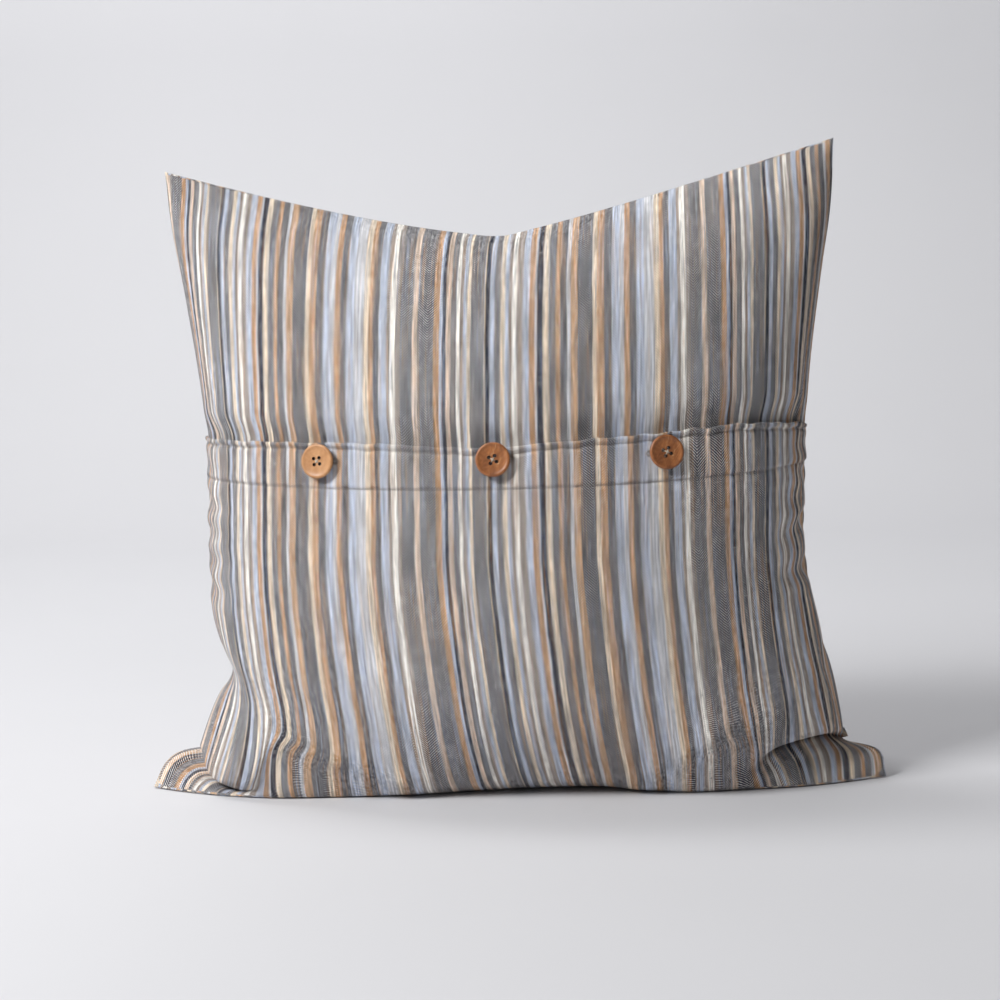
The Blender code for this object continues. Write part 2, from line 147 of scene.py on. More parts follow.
def target_shape(cells, lean):
    """One face of the cushion as a grid of places over the flat cover.

    Below the band the cloth leans to the right going down, by this much at LEAN_UP.
    """
    across = np.linspace(-HALF, HALF, cells + 1)
    ups = np.linspace(0.0, PANEL, cells + 1)
    seams = {-1: smooth_curve(LEFT_SEAM, ups), 1: smooth_curve(RIGHT_SEAM, ups)}
    grid = np.zeros((cells + 1, cells + 1, 3))
    for row, up in enumerate(ups):
        half_depth, height = middle_profile(up)
        for side, seam in seams.items():
            width, seam_height = abs(seam[row, 0]), seam[row, 1]
            here = across < 0 if side < 0 else across >= 0
            shares = natural_shares(np.abs(across[here]) / HALF, width, half_depth)
            turn = quarter_turn(lambda q: width * np.sin(q), lambda q: half_depth * np.cos(q),
                                shares)
            low_power = 8.0 - 6.0 * min(1.0, up / 0.28)
            high = min(1.0, max(0.0, (up - 0.28) / (PANEL - 0.28)))
            power = low_power + (TOP_POWER[side] - 2.0) * high
            x = width * np.sin(turn)
            z = height + (seam_height - height) * (x / width) ** power
            boxy = 0.45 + 0.55 * smoothstep(0.06, 0.20, up)
            y = -half_depth * np.cos(turn) ** boxy
            slope = min(max((LEAN_TOP - up) / (LEAN_TOP - LEAN_UP), 0.0) ** 1.3, 1.9)
            x = side * x + lean * slope * (1.0 - (x / width) ** 2)
            grid[row, here] = np.stack([x, y, np.maximum(z, 0.0)], axis=-1)
    return grid


def front_foot(cells):
    """How the front's lower edge leaves the even shape: two lobes forward, the middle back."""
    across = np.linspace(-HALF, HALF, cells + 1)[None, :]
    ups = np.linspace(0.0, PANEL, cells + 1)[:, None]
    low = smoothstep(0.0, 0.05, ups) * (1.0 - smoothstep(0.05, 0.15, ups))
    forward = (0.020 * bump_at(across, -0.165, 0.045) + 0.018 * bump_at(across, 0.140, 0.040)
               - 0.019 * bump_at(across, 0.02, 0.095))
    shift = np.zeros((cells + 1, cells + 1, 3))
    shift[..., 1] = -forward * low
    shift[..., 2] = 0.0014 * bump_at(across, 0.03, 0.085) * low
    return shift


def ear_shift(cells):
    """How far each place is pulled forward with the bottom corners."""
    across = np.abs(np.linspace(-HALF, HALF, cells + 1))[None, :]
    ups = np.linspace(0.0, PANEL, cells + 1)[:, None]
    pull = smoothstep(0.13, 0.245, across) * (1.0 - smoothstep(0.005, 0.085, ups))
    shift = np.zeros((cells + 1, cells + 1, 3))
    shift[..., 1] = -EAR_FORWARD * pull
    return shift


# ------------------------------------------------------------------ cloth relaxation

def grid_normals(grid):
    """Unit normals of a grid of places, pointing out of the front."""
    wide = np.gradient(grid, axis=1)
    tall = np.gradient(grid, axis=0)
    normal = np.cross(wide, tall)
    return normal / np.maximum(np.linalg.norm(normal, axis=-1, keepdims=True), 1e-12)


def lengths(first, second):
    return np.linalg.norm(second - first, axis=-1, keepdims=True)


def rest_lengths(goal, cell):
    """Lengths of the grid's edges: the flat ones, limited to a little more than the shape needs.

    With its full flat lengths the cloth would fold over, and with these it puckers.
    """
    spare = SPARE * np.ones(goal.shape[:2] + (1,))
    ups = np.linspace(0.0, PANEL, goal.shape[0])[:, None, None]
    from_side = HALF - np.abs(np.linspace(-HALF, HALF, goal.shape[1]))[None, :, None]
    low_side = np.exp(-(from_side / 0.050) ** 2) * (1.0 - smoothstep(0.26, 0.36, ups))
    spare = spare + LOW_SIDE_SPARE * low_side
    wide = lengths(goal[:, :-1], goal[:, 1:])
    tall = lengths(goal[:-1], goal[1:])
    return {
        "wide": np.clip(cell, wide, wide * (1 + 0.4 * spare[:, :-1])),
        "tall": np.clip(cell, tall, tall * (1 + spare[:-1])),
        "rising": lengths(goal[:-1, :-1], goal[1:, 1:]) * (1 + 0.5 * spare[:-1, :-1]),
        "falling": lengths(goal[:-1, 1:], goal[1:, :-1]) * (1 + 0.5 * spare[:-1, 1:]),
    }


def smoothstep(low, high, value):
    share = np.clip((value - low) / (high - low), 0.0, 1.0)
    return share * share * (3.0 - 2.0 * share)


def hold_length(first, second, rest, stiff):
    """Moves pairs of places towards their rest distance."""
    gap = second - first
    length = np.maximum(np.linalg.norm(gap, axis=-1, keepdims=True), 1e-9)
    move = gap * (0.5 * stiff * (1.0 - rest / length))
    first += move
    second -= move


def relax_panel(grid, rest, shear, bend):
    """One pass of stretch, shear and bend over a panel."""
    n = grid.shape[0]
    for k in (0, 1):
        hold_length(grid[:, k:n - 1:2], grid[:, k + 1:n:2], rest["wide"][:, k::2], 1.0)
        hold_length(grid[k:n - 1:2], grid[k + 1:n:2], rest["tall"][k::2], 1.0)
    for k in (0, 1):
        hold_length(grid[k:n - 1:2, :-1], grid[k + 1:n:2, 1:], rest["rising"][k::2], shear)
        hold_length(grid[k:n - 1:2, 1:], grid[k + 1:n:2, :-1], rest["falling"][k::2], shear)
    inner = grid[1:-1, 1:-1]
    bulge = np.zeros_like(grid)
    bulge[1:-1, 1:-1] = (grid[:-2, 1:-1] + grid[2:, 1:-1] + grid[1:-1, :-2]
                         + grid[1:-1, 2:]) / 4 - inner
    inner -= bend * ((bulge[:-2, 1:-1] + bulge[2:, 1:-1] + bulge[1:-1, :-2]
                      + bulge[1:-1, 2:]) / 4 - bulge[1:-1, 1:-1])


def relax_rim(grid, bend):
    """Smooths bends along the sewn edges."""
    for line in (grid[0], grid[-1], grid[:, 0], grid[:, -1]):
        bulge = np.zeros_like(line)
        bulge[1:-1] = (line[:-2] + line[2:]) / 2 - line[1:-1]
        line[1:-1] -= bend * ((bulge[:-2] + bulge[2:]) / 2 - bulge[1:-1])


def share_rim(source, other):
    other[0], other[-1] = source[0], source[-1]
    other[:, 0], other[:, -1] = source[:, 0], source[:, -1]


def blurred(field, radius):
    """Field averaged twice over a square window, edges repeated."""
    for _ in range(2):
        for axis in (0, 1):
            pad = [(0, 0)] * 3
            pad[axis] = (radius + 1, radius)
            total = np.cumsum(np.pad(field, pad, mode="edge"), axis=axis)
            width = 2 * radius + 1
            upper = np.take(total, range(width, total.shape[axis]), axis=axis)
            lower = np.take(total, range(0, total.shape[axis] - width), axis=axis)
            field = (upper - lower) / width
    return field


def doubled(grid):
    """Grid with a new row and column between each two."""
    for axis in (0, 1):
        middle = (np.take(grid, range(1, grid.shape[axis]), axis=axis)
                  + np.take(grid, range(grid.shape[axis] - 1), axis=axis)) / 2
        shape = list(grid.shape)
        shape[axis] = 2 * shape[axis] - 1
        woven = np.zeros(shape)
        even = [slice(None)] * 3
        odd = [slice(None)] * 3
        even[axis], odd[axis] = slice(0, None, 2), slice(1, None, 2)
        woven[tuple(even)] = grid
        woven[tuple(odd)] = middle
        grid = woven
    return grid


def relax_cover():
    """Front and back of the cover, relaxed from the wanted shape and held near it.

    The relaxing adds puckers and small folds. The large shape is the wanted one.
    """
    rng = np.random.default_rng(7)
    mirror = np.array([1.0, -1.0, 1.0])
    front = target_shape(COARSE, LEAN) + ear_shift(COARSE) + front_foot(COARSE)
    back = target_shape(COARSE, 0.0) * mirror + ear_shift(COARSE)
    for level in range(LEVELS):
        cells = COARSE * 2 ** level
        if level:
            front, back = doubled(front), doubled(back)
        cell = PANEL / cells
        goal = target_shape(cells, LEAN)
        goal_back = target_shape(cells, 0.0) * mirror
        rest = rest_lengths(goal, cell)
        rest_back = rest_lengths(goal_back, cell)
        goal += ear_shift(cells) + front_foot(cells)
        goal_back += ear_shift(cells)
        for grid in (front, back):
            grid += rng.normal(0.0, 0.06 * cell, grid.shape)
        share_rim(front, back)
        radius = max(1, int(round(0.012 / cell)))
        for _ in range(PASSES[level]):
            for grid, wanted, sizes, sign in ((front, goal, rest, 1.0),
                                              (back, goal_back, rest_back, -1.0)):
                grid += grid_normals(grid) * (sign * 0.010 * cell)
                relax_panel(grid, sizes, shear=0.25, bend=0.30)
                relax_rim(grid, 0.25)
                grid += 0.20 * blurred(wanted - grid, radius)
                np.maximum(grid[..., 2], FLOOR_GAP, out=grid[..., 2])
                share_rim(grid, back if grid is front else front)
            keep_apart(front, back)
    return front, back


def keep_apart(front, back, gap=0.0022):
    """Front and back cloth never pass through each other."""
    normal = grid_normals(front)
    apart = -np.sum((back - front) * normal, axis=-1, keepdims=True)
    push = np.maximum(0.0, gap - apart)[1:-1, 1:-1] / 2
    front[1:-1, 1:-1] += normal[1:-1, 1:-1] * push
    back[1:-1, 1:-1] -= normal[1:-1, 1:-1] * push


# ------------------------------------------------------------------ reading the relaxed cloth

def cubic_weights(places, count, low, high):
    """Matrix that reads a smooth curve through count even samples at given places."""
    spot = (np.asarray(places) - low) / (high - low) * (count - 1)
    k = np.clip(np.floor(spot).astype(int), 0, count - 2)
    u = spot - k
    parts = (-0.5 * u ** 3 + u ** 2 - 0.5 * u, 1.5 * u ** 3 - 2.5 * u ** 2 + 1,
             -1.5 * u ** 3 + 2 * u ** 2 + 0.5 * u, 0.5 * u ** 3 - 0.5 * u ** 2)
    weights = np.zeros((len(spot), count))
    for shift, part in zip((-1, 0, 1, 2), parts):
        np.add.at(weights, (np.arange(len(spot)), np.clip(k + shift, 0, count - 1)), part)
    return weights


class Sheet:
    """One relaxed side of the cover, read at any place on its flat cloth."""

    def __init__(self, grid, out_sign):
        self.grid = grid
        self.normals = grid_normals(grid) * out_sign

    def read(self, acrosses, ups):
        """Places and outward normals over a grid of columns and rows."""
        n = self.grid.shape[0]
        rows = cubic_weights(ups, n, 0.0, PANEL)
        columns = cubic_weights(acrosses, n, -HALF, HALF)
        place, normal = (np.einsum("cj,rjk->rck", columns, np.tensordot(rows, field, axes=(1, 0)),
                                   optimize=True) for field in (self.grid, self.normals))
        normal /= np.linalg.norm(normal, axis=-1, keepdims=True)
        return place, normal


# ------------------------------------------------------------------ folded bottom corners

# Each bottom corner lies on the floor as a flap, and the filled body folds over it. For columns
# at several distances across: how far the cloth first runs forward under the cushion; after that
# run, (up, x, y, z) of the flap's foot, its shoulder, its crease, the inside of the fold and the
# overhanging chin; and the relaxed row that the body is back on at REJOIN.
REJOIN = 0.100
UNDER_RUN = 0.055
CORNERS = {
    1: [(0.080, UNDER_RUN, (0.000, 0.080, -0.0540, 0.001), (0.003, 0.080, -0.0560, 0.0015),
         (0.006, 0.080, -0.0585, 0.0025), (0.010, 0.080, -0.0615, 0.004),
         (0.018, 0.080, -0.0670, 0.008), 0.100),
        (0.116, UNDER_RUN / 2, (0.000, 0.122, -0.0590, 0.001), (0.003, 0.122, -0.0605, 0.003),
         (0.006, 0.122, -0.0615, 0.0055), (0.010, 0.122, -0.0630, 0.009),
         (0.018, 0.122, -0.0660, 0.015), 0.112),
        (0.151, 0.0, (0.000, 0.1604, -0.0525, 0.001), (0.004, 0.1602, -0.0545, 0.004),
         (0.008, 0.1598, -0.0545, 0.008), (0.014, 0.159, -0.055, 0.013),
         (0.022, 0.159, -0.0575, 0.020), 0.125),
        (0.187, 0.0, (0.000, 0.1956, -0.0452, 0.001), (0.015, 0.1912, -0.0405, 0.0150),
         (0.030, 0.1842, -0.0300, 0.0245), (0.037, 0.184, -0.0230, 0.0250),
         (0.060, 0.1838, -0.0520, 0.0312), 0.125),
        (0.217, 0.0, (0.000, 0.2195, -0.0360, 0.001), (0.018, 0.2182, -0.0240, 0.0172),
         (0.038, 0.2122, -0.0060, 0.0262), (0.046, 0.212, 0.0000, 0.0265),
         (0.066, 0.2112, -0.0360, 0.0355), 0.118),
        (0.254, 0.0, (0.000, 0.2550, -0.0180, 0.001), (0.020, 0.2515, -0.0120, 0.0178),
         (0.042, 0.2292, 0.0050, 0.0215), (0.050, 0.2265, 0.0100, 0.0225),
         (0.068, 0.2262, -0.0180, 0.0350), 0.108)],
    -1: [(0.085, UNDER_RUN, (0.000, 0.080, -0.0600, 0.001), (0.003, 0.080, -0.0620, 0.0015),
          (0.006, 0.080, -0.0645, 0.0025), (0.010, 0.080, -0.0675, 0.004),
          (0.018, 0.080, -0.0730, 0.008), 0.100),
         (0.130, UNDER_RUN / 2, (0.000, 0.126, -0.0640, 0.001), (0.003, 0.126, -0.0655, 0.003),
          (0.006, 0.126, -0.0665, 0.0055), (0.010, 0.126, -0.0680, 0.009),
          (0.018, 0.126, -0.0710, 0.015), 0.112),
         (0.172, 0.0, (0.000, 0.1680, -0.0640, 0.001), (0.003, 0.1680, -0.0652, 0.004),
          (0.006, 0.1675, -0.0660, 0.007), (0.010, 0.1670, -0.0670, 0.011),
          (0.018, 0.1660, -0.0690, 0.019), 0.122),
         (0.192, 0.0, (0.000, 0.1930, -0.0580, 0.001), (0.006, 0.1910, -0.0560, 0.0030),
          (0.012, 0.1870, -0.0545, 0.0035), (0.017, 0.1835, -0.0560, 0.0035),
          (0.026, 0.1800, -0.0640, 0.0080), 0.123),
         (0.222, 0.0, (0.000, 0.2235, -0.0460, 0.001), (0.009, 0.2205, -0.0410, 0.0060),
          (0.018, 0.2165, -0.0310, 0.0080), (0.027, 0.2095, -0.0290, 0.0075),
          (0.040, 0.2085, -0.0450, 0.0105), 0.112),
         (0.254, 0.0, (0.000, 0.2530, -0.0300, 0.001), (0.018, 0.2470, -0.0200, 0.0155),
          (0.040, 0.2365, 0.0020, 0.0205), (0.049, 0.2280, 0.0100, 0.0205),
          (0.062, 0.2236, -0.0100, 0.0262), 0.100)],
}


def fold_corner(front, back, side):
    """Folds the front over one bottom corner, and lets the back follow the moved seams."""
    count = front.shape[0]
    acrosses = np.linspace(-HALF, HALF, count)
    ups = np.linspace(0.0, PANEL, count)
    stations = [(at, run, *foot, *shoulder, *crease, *inside, *chin, row)
                for at, run, foot, shoulder, crease, inside, chin, row in CORNERS[side]]
    first = stations[0][0]
    before = front.copy()
    relaxed = Sheet(before, 1.0)
    low = ups < 0.19
    for column in np.where(side * acrosses > first - 0.032)[0]:
        at = side * acrosses[column]
        values = smooth_curve(stations, np.array([max(at, first)]))[0]
        run = max(values[0], 0.0)
        marks = values[1:-1].reshape(5, 4) * np.array([1, side, 1, 1])
        above, _ = relaxed.read([acrosses[column]], [0.075])
        own_way = smoothstep(first, stations[2][0], at)
        marks[:, 1] = above[0, 0, 0] + own_way * (marks[:, 1] - above[0, 0, 0])
        seam_spot = [0.0, marks[0, 1], marks[0, 2] + run, marks[0, 3]]
        marks[:, 0] += run
        if run > 0.004:
            marks = np.concatenate([[seam_spot], marks])
        row = values[-1]
        body_rows = np.array([row, row + 0.4 * (0.155 - row), 0.155, 0.190, 0.215])
        body, _ = relaxed.read([acrosses[column]], body_rows)
        body_ups = np.array([REJOIN, 0.120, 0.150, 0.190, 0.215])
        points = np.concatenate([marks, np.column_stack([body_ups, body[:, 0]])])
        share = smoothstep(first - 0.032, first, at)
        folded = smooth_curve(points, ups[low])
        front[low, column] += share * (folded - front[low, column])
    front[..., 2] = np.maximum(front[..., 2], FLOOR_GAP)
    from_side = HALF - side * acrosses
    beside = np.exp(-(from_side / 0.016) ** 1.0)[None, :, None]
    below = np.exp(-ups / 0.026)[:, None, None]
    rim = -1 if side > 0 else 0
    side_move = (front - before)[:, rim][:, None]
    foot_move = (front - before)[0][None]
    corner_move = side_move[0][None]
    back += side_move * beside + foot_move * below - corner_move * beside * below
    back[..., 2] = np.maximum(back[..., 2], FLOOR_GAP)
    share_rim(front, back)


def finer(grid, cells):
    """The same cloth read smoothly on a finer grid."""
    places = np.linspace(-HALF, HALF, cells + 1)
    return Sheet(grid, 1.0).read(places, places + HALF)[0]


# ------------------------------------------------------------------ pieces

def link(name, data):
    item = bpy.data.objects.new(name, data)
    bpy.context.scene.collection.objects.link(item)
    return item


def grid_stretch(places, acrosses, ups):
    """How far each place of a grid is pulled out beyond the flat cloth, 1 where it isn't."""
    wide = np.linalg.norm(np.gradient(places, acrosses, axis=1), axis=-1)
    high = np.linalg.norm(np.gradient(places, ups, axis=0), axis=-1)
    return np.maximum(wide, high)


def grid_piece(name, places, acrosses, ups, flip=False):
    """Sheet of quads over a grid of places, which remembers its place on the flat cloth."""
    rows, columns = places.shape[:2]
    corners = np.arange(rows * columns).reshape(rows, columns)
    quads = np.stack([corners[:-1, :-1], corners[:-1, 1:], corners[1:, 1:], corners[1:, :-1]],
                     axis=-1).reshape(-1, 4)
    if flip:
        quads = quads[:, ::-1]
    mesh = bpy.data.meshes.new(name)
    mesh.from_pydata(places.reshape(-1, 3).tolist(), [], quads.tolist())
    flat = np.zeros((rows, columns, 3), np.float32)
    flat[..., 0] = np.asarray(acrosses)[None, :]
    flat[..., 1] = np.asarray(ups)[:, None]
    flat[..., 2] = grid_stretch(places, np.asarray(acrosses), np.asarray(ups))
    layer = mesh.attributes.new("flat", "FLOAT_VECTOR", "POINT")
    layer.data.foreach_set("vector", flat.ravel())
    mesh.shade_smooth()
    return link(name, mesh)


def thicken(item, thickness, offset=-1.0):
    modifier = item.modifiers.new("Thickness", "SOLIDIFY")
    modifier.thickness = thickness
    modifier.offset = offset
    modifier.use_rim = True


def declare(item, body, slot, *nodes):
    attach(item, body)
    if nodes:
        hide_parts(*nodes)


# ------------------------------------------------------------------ shader helpers

def srgb(red, green, blue):
    """Linear colour from 0..255 screen values."""
    def one(value):
        value = value / 255.0
        return value / 12.92 if value <= 0.04045 else ((value + 0.055) / 1.055) ** 2.4
    return one(red), one(green), one(blue)


class Shader:
    """A material and short ways to add and join its nodes."""

    def __init__(self, name, roughness, sheen=0.0):
        self.material = bpy.data.materials.new(name)
        self.material.use_nodes = True
        self.nodes = self.material.node_tree.nodes
        self.links = self.material.node_tree.links
        self.surface = self.nodes["Principled BSDF"]
        self.surface.inputs["Roughness"].default_value = roughness
        self.surface.inputs["Sheen Weight"].default_value = sheen
        self.surface.inputs["Sheen Roughness"].default_value = 0.6

    def plug(self, value, socket):
        if isinstance(value, bpy.types.NodeSocket):
            self.links.new(value, socket)
        elif isinstance(value, tuple) and len(value) == 3 and socket.type == "RGBA":
            socket.default_value = (*value, 1.0)
        else:
            socket.default_value = value

    def math(self, operation, *values, clamp=False):
        node = self.nodes.new("ShaderNodeMath")
        node.operation = operation
        node.use_clamp = clamp
        for value, socket in zip(values, node.inputs):
            self.plug(value, socket)
        return node.outputs[0]

    def plus(self, first, second):
        return self.math("ADD", first, second)

    def minus(self, first, second):
        return self.math("SUBTRACT", first, second)

    def times(self, first, second):
        return self.math("MULTIPLY", first, second)

    def mix(self, share, first, second, blend="MIX"):
        node = self.nodes.new("ShaderNodeMix")
        node.data_type = "RGBA"
        node.blend_type = blend
        node.clamp_factor = True
        self.plug(share, node.inputs["Factor"])
        self.plug(first, node.inputs[6])
        self.plug(second, node.inputs[7])
        return node.outputs[2]

    def vector(self, x, y, z=0.0):
        node = self.nodes.new("ShaderNodeCombineXYZ")
        for value, socket in zip((x, y, z), node.inputs):
            self.plug(value, socket)
        return node.outputs[0]

    def noise(self, place, scale, detail=2.0, roughness=0.5):
        node = self.nodes.new("ShaderNodeTexNoise")
        self.plug(place, node.inputs["Vector"])
        node.inputs["Scale"].default_value = scale
        node.inputs["Detail"].default_value = detail
        node.inputs["Roughness"].default_value = roughness
        return node.outputs["Fac"]

    def grain(self, across, up, rates, layer=0.0, detail=1.0, roughness=0.5):
        """Noise over the flat cloth, with its own fineness across and up."""
        place = self.vector(self.times(across, rates[0]), self.times(up, rates[1]), layer)
        return self.noise(place, 1.0, detail, roughness)

    def tinted(self, colour, tone):
        """Colour made darker or lighter by a tone, as it is at 1."""
        return self.mix(1.0, colour, self.vector(tone, tone, tone), "MULTIPLY")

    def remap(self, value, low, high, to_low=0.0, to_high=1.0):
        node = self.nodes.new("ShaderNodeMapRange")
        self.plug(value, node.inputs["Value"])
        for name, number in (("From Min", low), ("From Max", high), ("To Min", to_low),
                             ("To Max", to_high)):
            self.plug(number, node.inputs[name])
        return node.outputs["Result"]

    def steps(self, place, stops):
        """Colour and alpha of a ramp of flat steps."""
        node = self.nodes.new("ShaderNodeValToRGB")
        ramp = node.color_ramp
        ramp.interpolation = "CONSTANT"
        while len(ramp.elements) < len(stops):
            ramp.elements.new(0.5)
        for element, (spot, colour) in zip(ramp.elements, stops):
            element.position = spot
            element.color = colour
        self.plug(place, node.inputs["Fac"])
        return node.outputs["Color"], node.outputs["Alpha"]

    def split(self, vector):
        node = self.nodes.new("ShaderNodeSeparateXYZ")
        self.links.new(vector, node.inputs[0])
        return node.outputs["X"], node.outputs["Y"], node.outputs["Z"]

    def flat_place(self):
        """Place on the flat cloth, across and up, in metres, and how far it is stretched."""
        node = self.nodes.new("ShaderNodeAttribute")
        node.attribute_name = "flat"
        return self.split(node.outputs["Vector"])

    def object_place(self):
        node = self.nodes.new("ShaderNodeTexCoord")
        return node.outputs["Object"]

    def bump(self, height, distance, strength=1.0):
        node = self.nodes.new("ShaderNodeBump")
        node.inputs["Distance"].default_value = distance
        node.inputs["Strength"].default_value = strength
        self.plug(height, node.inputs["Height"])
        self.links.new(node.outputs["Normal"], self.surface.inputs["Normal"])

    def colour(self, value):
        self.plug(value, self.surface.inputs["Base Color"])


# ------------------------------------------------------------------ striped cloth

# warp yarn: colour of the pure yarn, and how much of the pale weft shows over it
YARNS = {
    "white": (srgb(248, 243, 235), 0.20),
    "cream": (srgb(226, 203, 172), 0.34),
    "peach": (srgb(210, 176, 146), 0.38),
    "tan": (srgb(184, 130, 72), 0.26),
    "gold": (srgb(190, 138, 80), 0.28),
    "taupe": (srgb(114, 90, 72), 0.36),
    "brown": (srgb(110, 82, 62), 0.34),
    "grey": (srgb(46, 49, 66), 0.29),
    "dark": (srgb(36, 39, 56), 0.25),
    "navy": (srgb(24, 29, 50), 0.13),
    "blue": (srgb(150, 169, 202), 0.42),
    "pale": (srgb(176, 181, 196), 0.50),
}
# one repeat of the stripes, left to right: relative width and warp yarn; all together are REPEAT
STRIPES = [
    (3.5, "white"), (3.0, "taupe"), (8.0, "grey"), (3.5, "peach"), (10.5, "grey"),
    (3.75, "tan"), (2.0, "blue"), (2.5, "navy"), (2.75, "peach"), (3.75, "grey"),
    (2.5, "white"), (2.0, "brown"), (2.5, "blue"), (2.0, "cream"), (8.5, "grey"),
    (1.0, "cream"), (3.25, "navy"), (2.5, "blue"), (4.0, "grey"), (3.0, "cream"),
    (2.0, "blue"), (2.25, "brown"), (2.75, "white"), (4.5, "taupe"), (3.75, "blue"),
    (3.5, "tan"), (2.0, "pale"), (3.5, "navy"), (3.5, "cream"), (4.75, "grey"),
    (2.75, "tan"), (4.75, "dark"), (2.0, "pale"), (4.25, "gold"), (9.5, "dark"),
    (3.5, "cream"), (4.25, "tan"), (5.0, "dark"), (5.0, "blue"), (3.5, "pale"),
    (3.5, "tan"), (4.25, "dark"), (5.25, "blue"), (7.0, "pale"), (3.0, "cream"),
    (3.0, "tan"), (4.25, "dark"), (4.75, "blue"), (2.75, "taupe"),
]
REPEAT = 0.1965          # width of one repeat
FIRST_WHITE = -0.0710    # left edge of the first wide white stripe from the middle
WEFT = srgb(240, 237, 233)
TWILL_PITCH = 0.0019
CHEVRON = 0.0090         # width of one arm of the herringbone


def stripe_colours(shader, across):
    """Warp colour and share of weft at a place across the cloth."""
    turn = shader.math("FRACT", shader.math("DIVIDE", shader.minus(across, FIRST_WHITE), REPEAT))
    total = sum(width for width, _ in STRIPES)
    stops = []
    edge = 0.0
    for width, yarn in STRIPES:
        colour, weft = YARNS[yarn]
        stops.append((edge / total, (*colour, weft)))
        edge += width
    half = len(stops) // 2
    low, low_weft = shader.steps(turn, stops[:half])
    high, high_weft = shader.steps(turn, [(0.0, stops[half][1])] + stops[half:])
    second = shader.math("GREATER_THAN", turn, stops[half][0])
    colour = shader.mix(second, low, high)
    weft = shader.plus(shader.times(low_weft, shader.minus(1.0, second)),
                       shader.times(high_weft, second))
    return colour, weft


def striped_cloth(name, shift=0.0, shaded_stitch_rows=()):
    """Yarn-dyed herringbone: coloured warp stripes under a pale weft."""
    shader = Shader(name, roughness=0.90, sheen=0.04)
    shader.surface.inputs["Specular IOR Level"].default_value = 0.2
    across, up, stretch = shader.flat_place()
    across = shader.plus(across, shift)
    wander = shader.grain(across, up, (60.0, 28.0), detail=2.0)
    ragged = shader.grain(across, up, (420.0, 200.0))

    # herringbone: slanted lines of weft that change direction every few millimetres
    slant = shader.math("PINGPONG", across, CHEVRON)
    turn = shader.plus(shader.math("DIVIDE", shader.plus(up, slant), TWILL_PITCH),
                       shader.remap(ragged, 0.2, 0.8, -0.15, 0.15))
    wave = shader.math("ABSOLUTE", shader.minus(shader.times(shader.math("FRACT", turn), 2.0),
                                                1.0))

    # a stripe's edge steps in and out with the twill
    drawn = shader.plus(shader.remap(wander, 0.25, 0.75, -0.0003, 0.0003),
                        shader.remap(wave, 0.0, 1.0, -0.0005, 0.0005))
    warp, weft_share = stripe_colours(shader, shader.plus(across, drawn))

    # yarn by yarn: each warp yarn has its own tone, which drifts along its length
    yarn_tone = shader.grain(across, up, (950.0, 38.0), detail=2.0, roughness=0.7)
    fleck = shader.grain(across, up, (560.0, 170.0), layer=3.0)
    warp = shader.tinted(warp, shader.plus(shader.remap(yarn_tone, 0.32, 0.68, 0.62, 1.38),
                                           shader.remap(fleck, 0.30, 0.70, -0.20, 0.20)))
    stray = shader.grain(across, up, (900.0, 12.0), layer=7.0)
    warp = shader.mix(shader.remap(stray, 0.56, 0.70, 0.0, 0.5), warp, YARNS["tan"][0])
    warp = shader.mix(shader.remap(stray, 0.44, 0.30, 0.0, 0.4), warp, YARNS["blue"][0])

    # the weft floats over the warp along each twill line; beside it the warp is darkened, painted
    # shade in the groove between the yarns
    showing = shader.plus(shader.plus(wave, weft_share),
                          shader.remap(fleck, 0.30, 0.70, -0.12, 0.12))
    over = shader.remap(showing, 0.96, 1.04)
    gap = shader.remap(shader.math("ABSOLUTE", shader.minus(showing, 0.90)), 0.0, 0.18, 0.55, 0.0)
    weft_tone = shader.grain(across, up, (160.0, 420.0))
    weft = shader.mix(shader.remap(weft_tone, 0.3, 0.7), tuple(0.80 * c for c in WEFT), WEFT)
    cloth = shader.mix(over, warp, weft)
    # painted shade: gap darkens the warp along the edge of each weft float, where the groove lies
    # in shadow
    cloth = shader.mix(gap, cloth, shader.tinted(warp, 0.28))

    # where a fold pulls the cloth out, the twill gives way to its mean colour
    pulled = shader.remap(stretch, 1.22, 1.7)
    cloth = shader.mix(pulled, cloth, shader.mix(weft_share, warp, weft))

    # long streaks of thicker and thinner yarn, in warp and weft alike
    streak = shader.grain(across, up, (780.0, 26.0), layer=13.0)
    cloth = shader.tinted(cloth, shader.remap(streak, 0.30, 0.70, 0.66, 1.34))

    # stray slubs: short dark specks along the warp and pale nubs along the weft
    dark = shader.grain(across, up, (700.0, 260.0), layer=9.0, detail=0.0)
    cloth = shader.mix(shader.remap(dark, 0.79, 0.84, 0.0, 0.7), cloth, srgb(52, 54, 66))
    nub = shader.grain(across, up, (150.0, 900.0), layer=5.0, detail=0.0)
    cloth = shader.mix(shader.remap(nub, 0.80, 0.85, 0.0, 0.6), cloth, srgb(240, 236, 228))

    relief = shader.times(over, shader.remap(pulled, 0.0, 1.0, 0.8, 0.0))
    height = shader.plus(relief, shader.times(fleck, 0.4))
    # painted shadow: the cloth darkens to grey along each stitch row, for the groove the stitches
    # draw in
    for row in shaded_stitch_rows:
        from_row = shader.math("ABSOLUTE", shader.minus(up, row))
        near = shader.minus(1.0, shader.remap(from_row, 0.0, 0.0011))
        cloth = shader.mix(shader.times(near, 0.45), cloth, srgb(70, 66, 70))
    shader.colour(cloth)
    shader.bump(height, 0.00022, 0.75)
    return shader.material


def plain_weave(name, colour, thread=0.0005, sheen=0.1):
    shader = Shader(name, roughness=0.85, sheen=sheen)
    place = shader.object_place()
    x, _, z = shader.split(place)
    rate = 2 * math.pi / thread
    weave = shader.times(*(shader.math("SINE", shader.times(axis, rate)) for axis in (x, z)))
    drift = shader.noise(place, 60.0, 3.0)
    shader.colour(shader.mix(drift, tuple(0.88 * c for c in colour), colour))
    shader.bump(shader.plus(weave, drift), thread * 0.3, 0.5)
    return shader.material


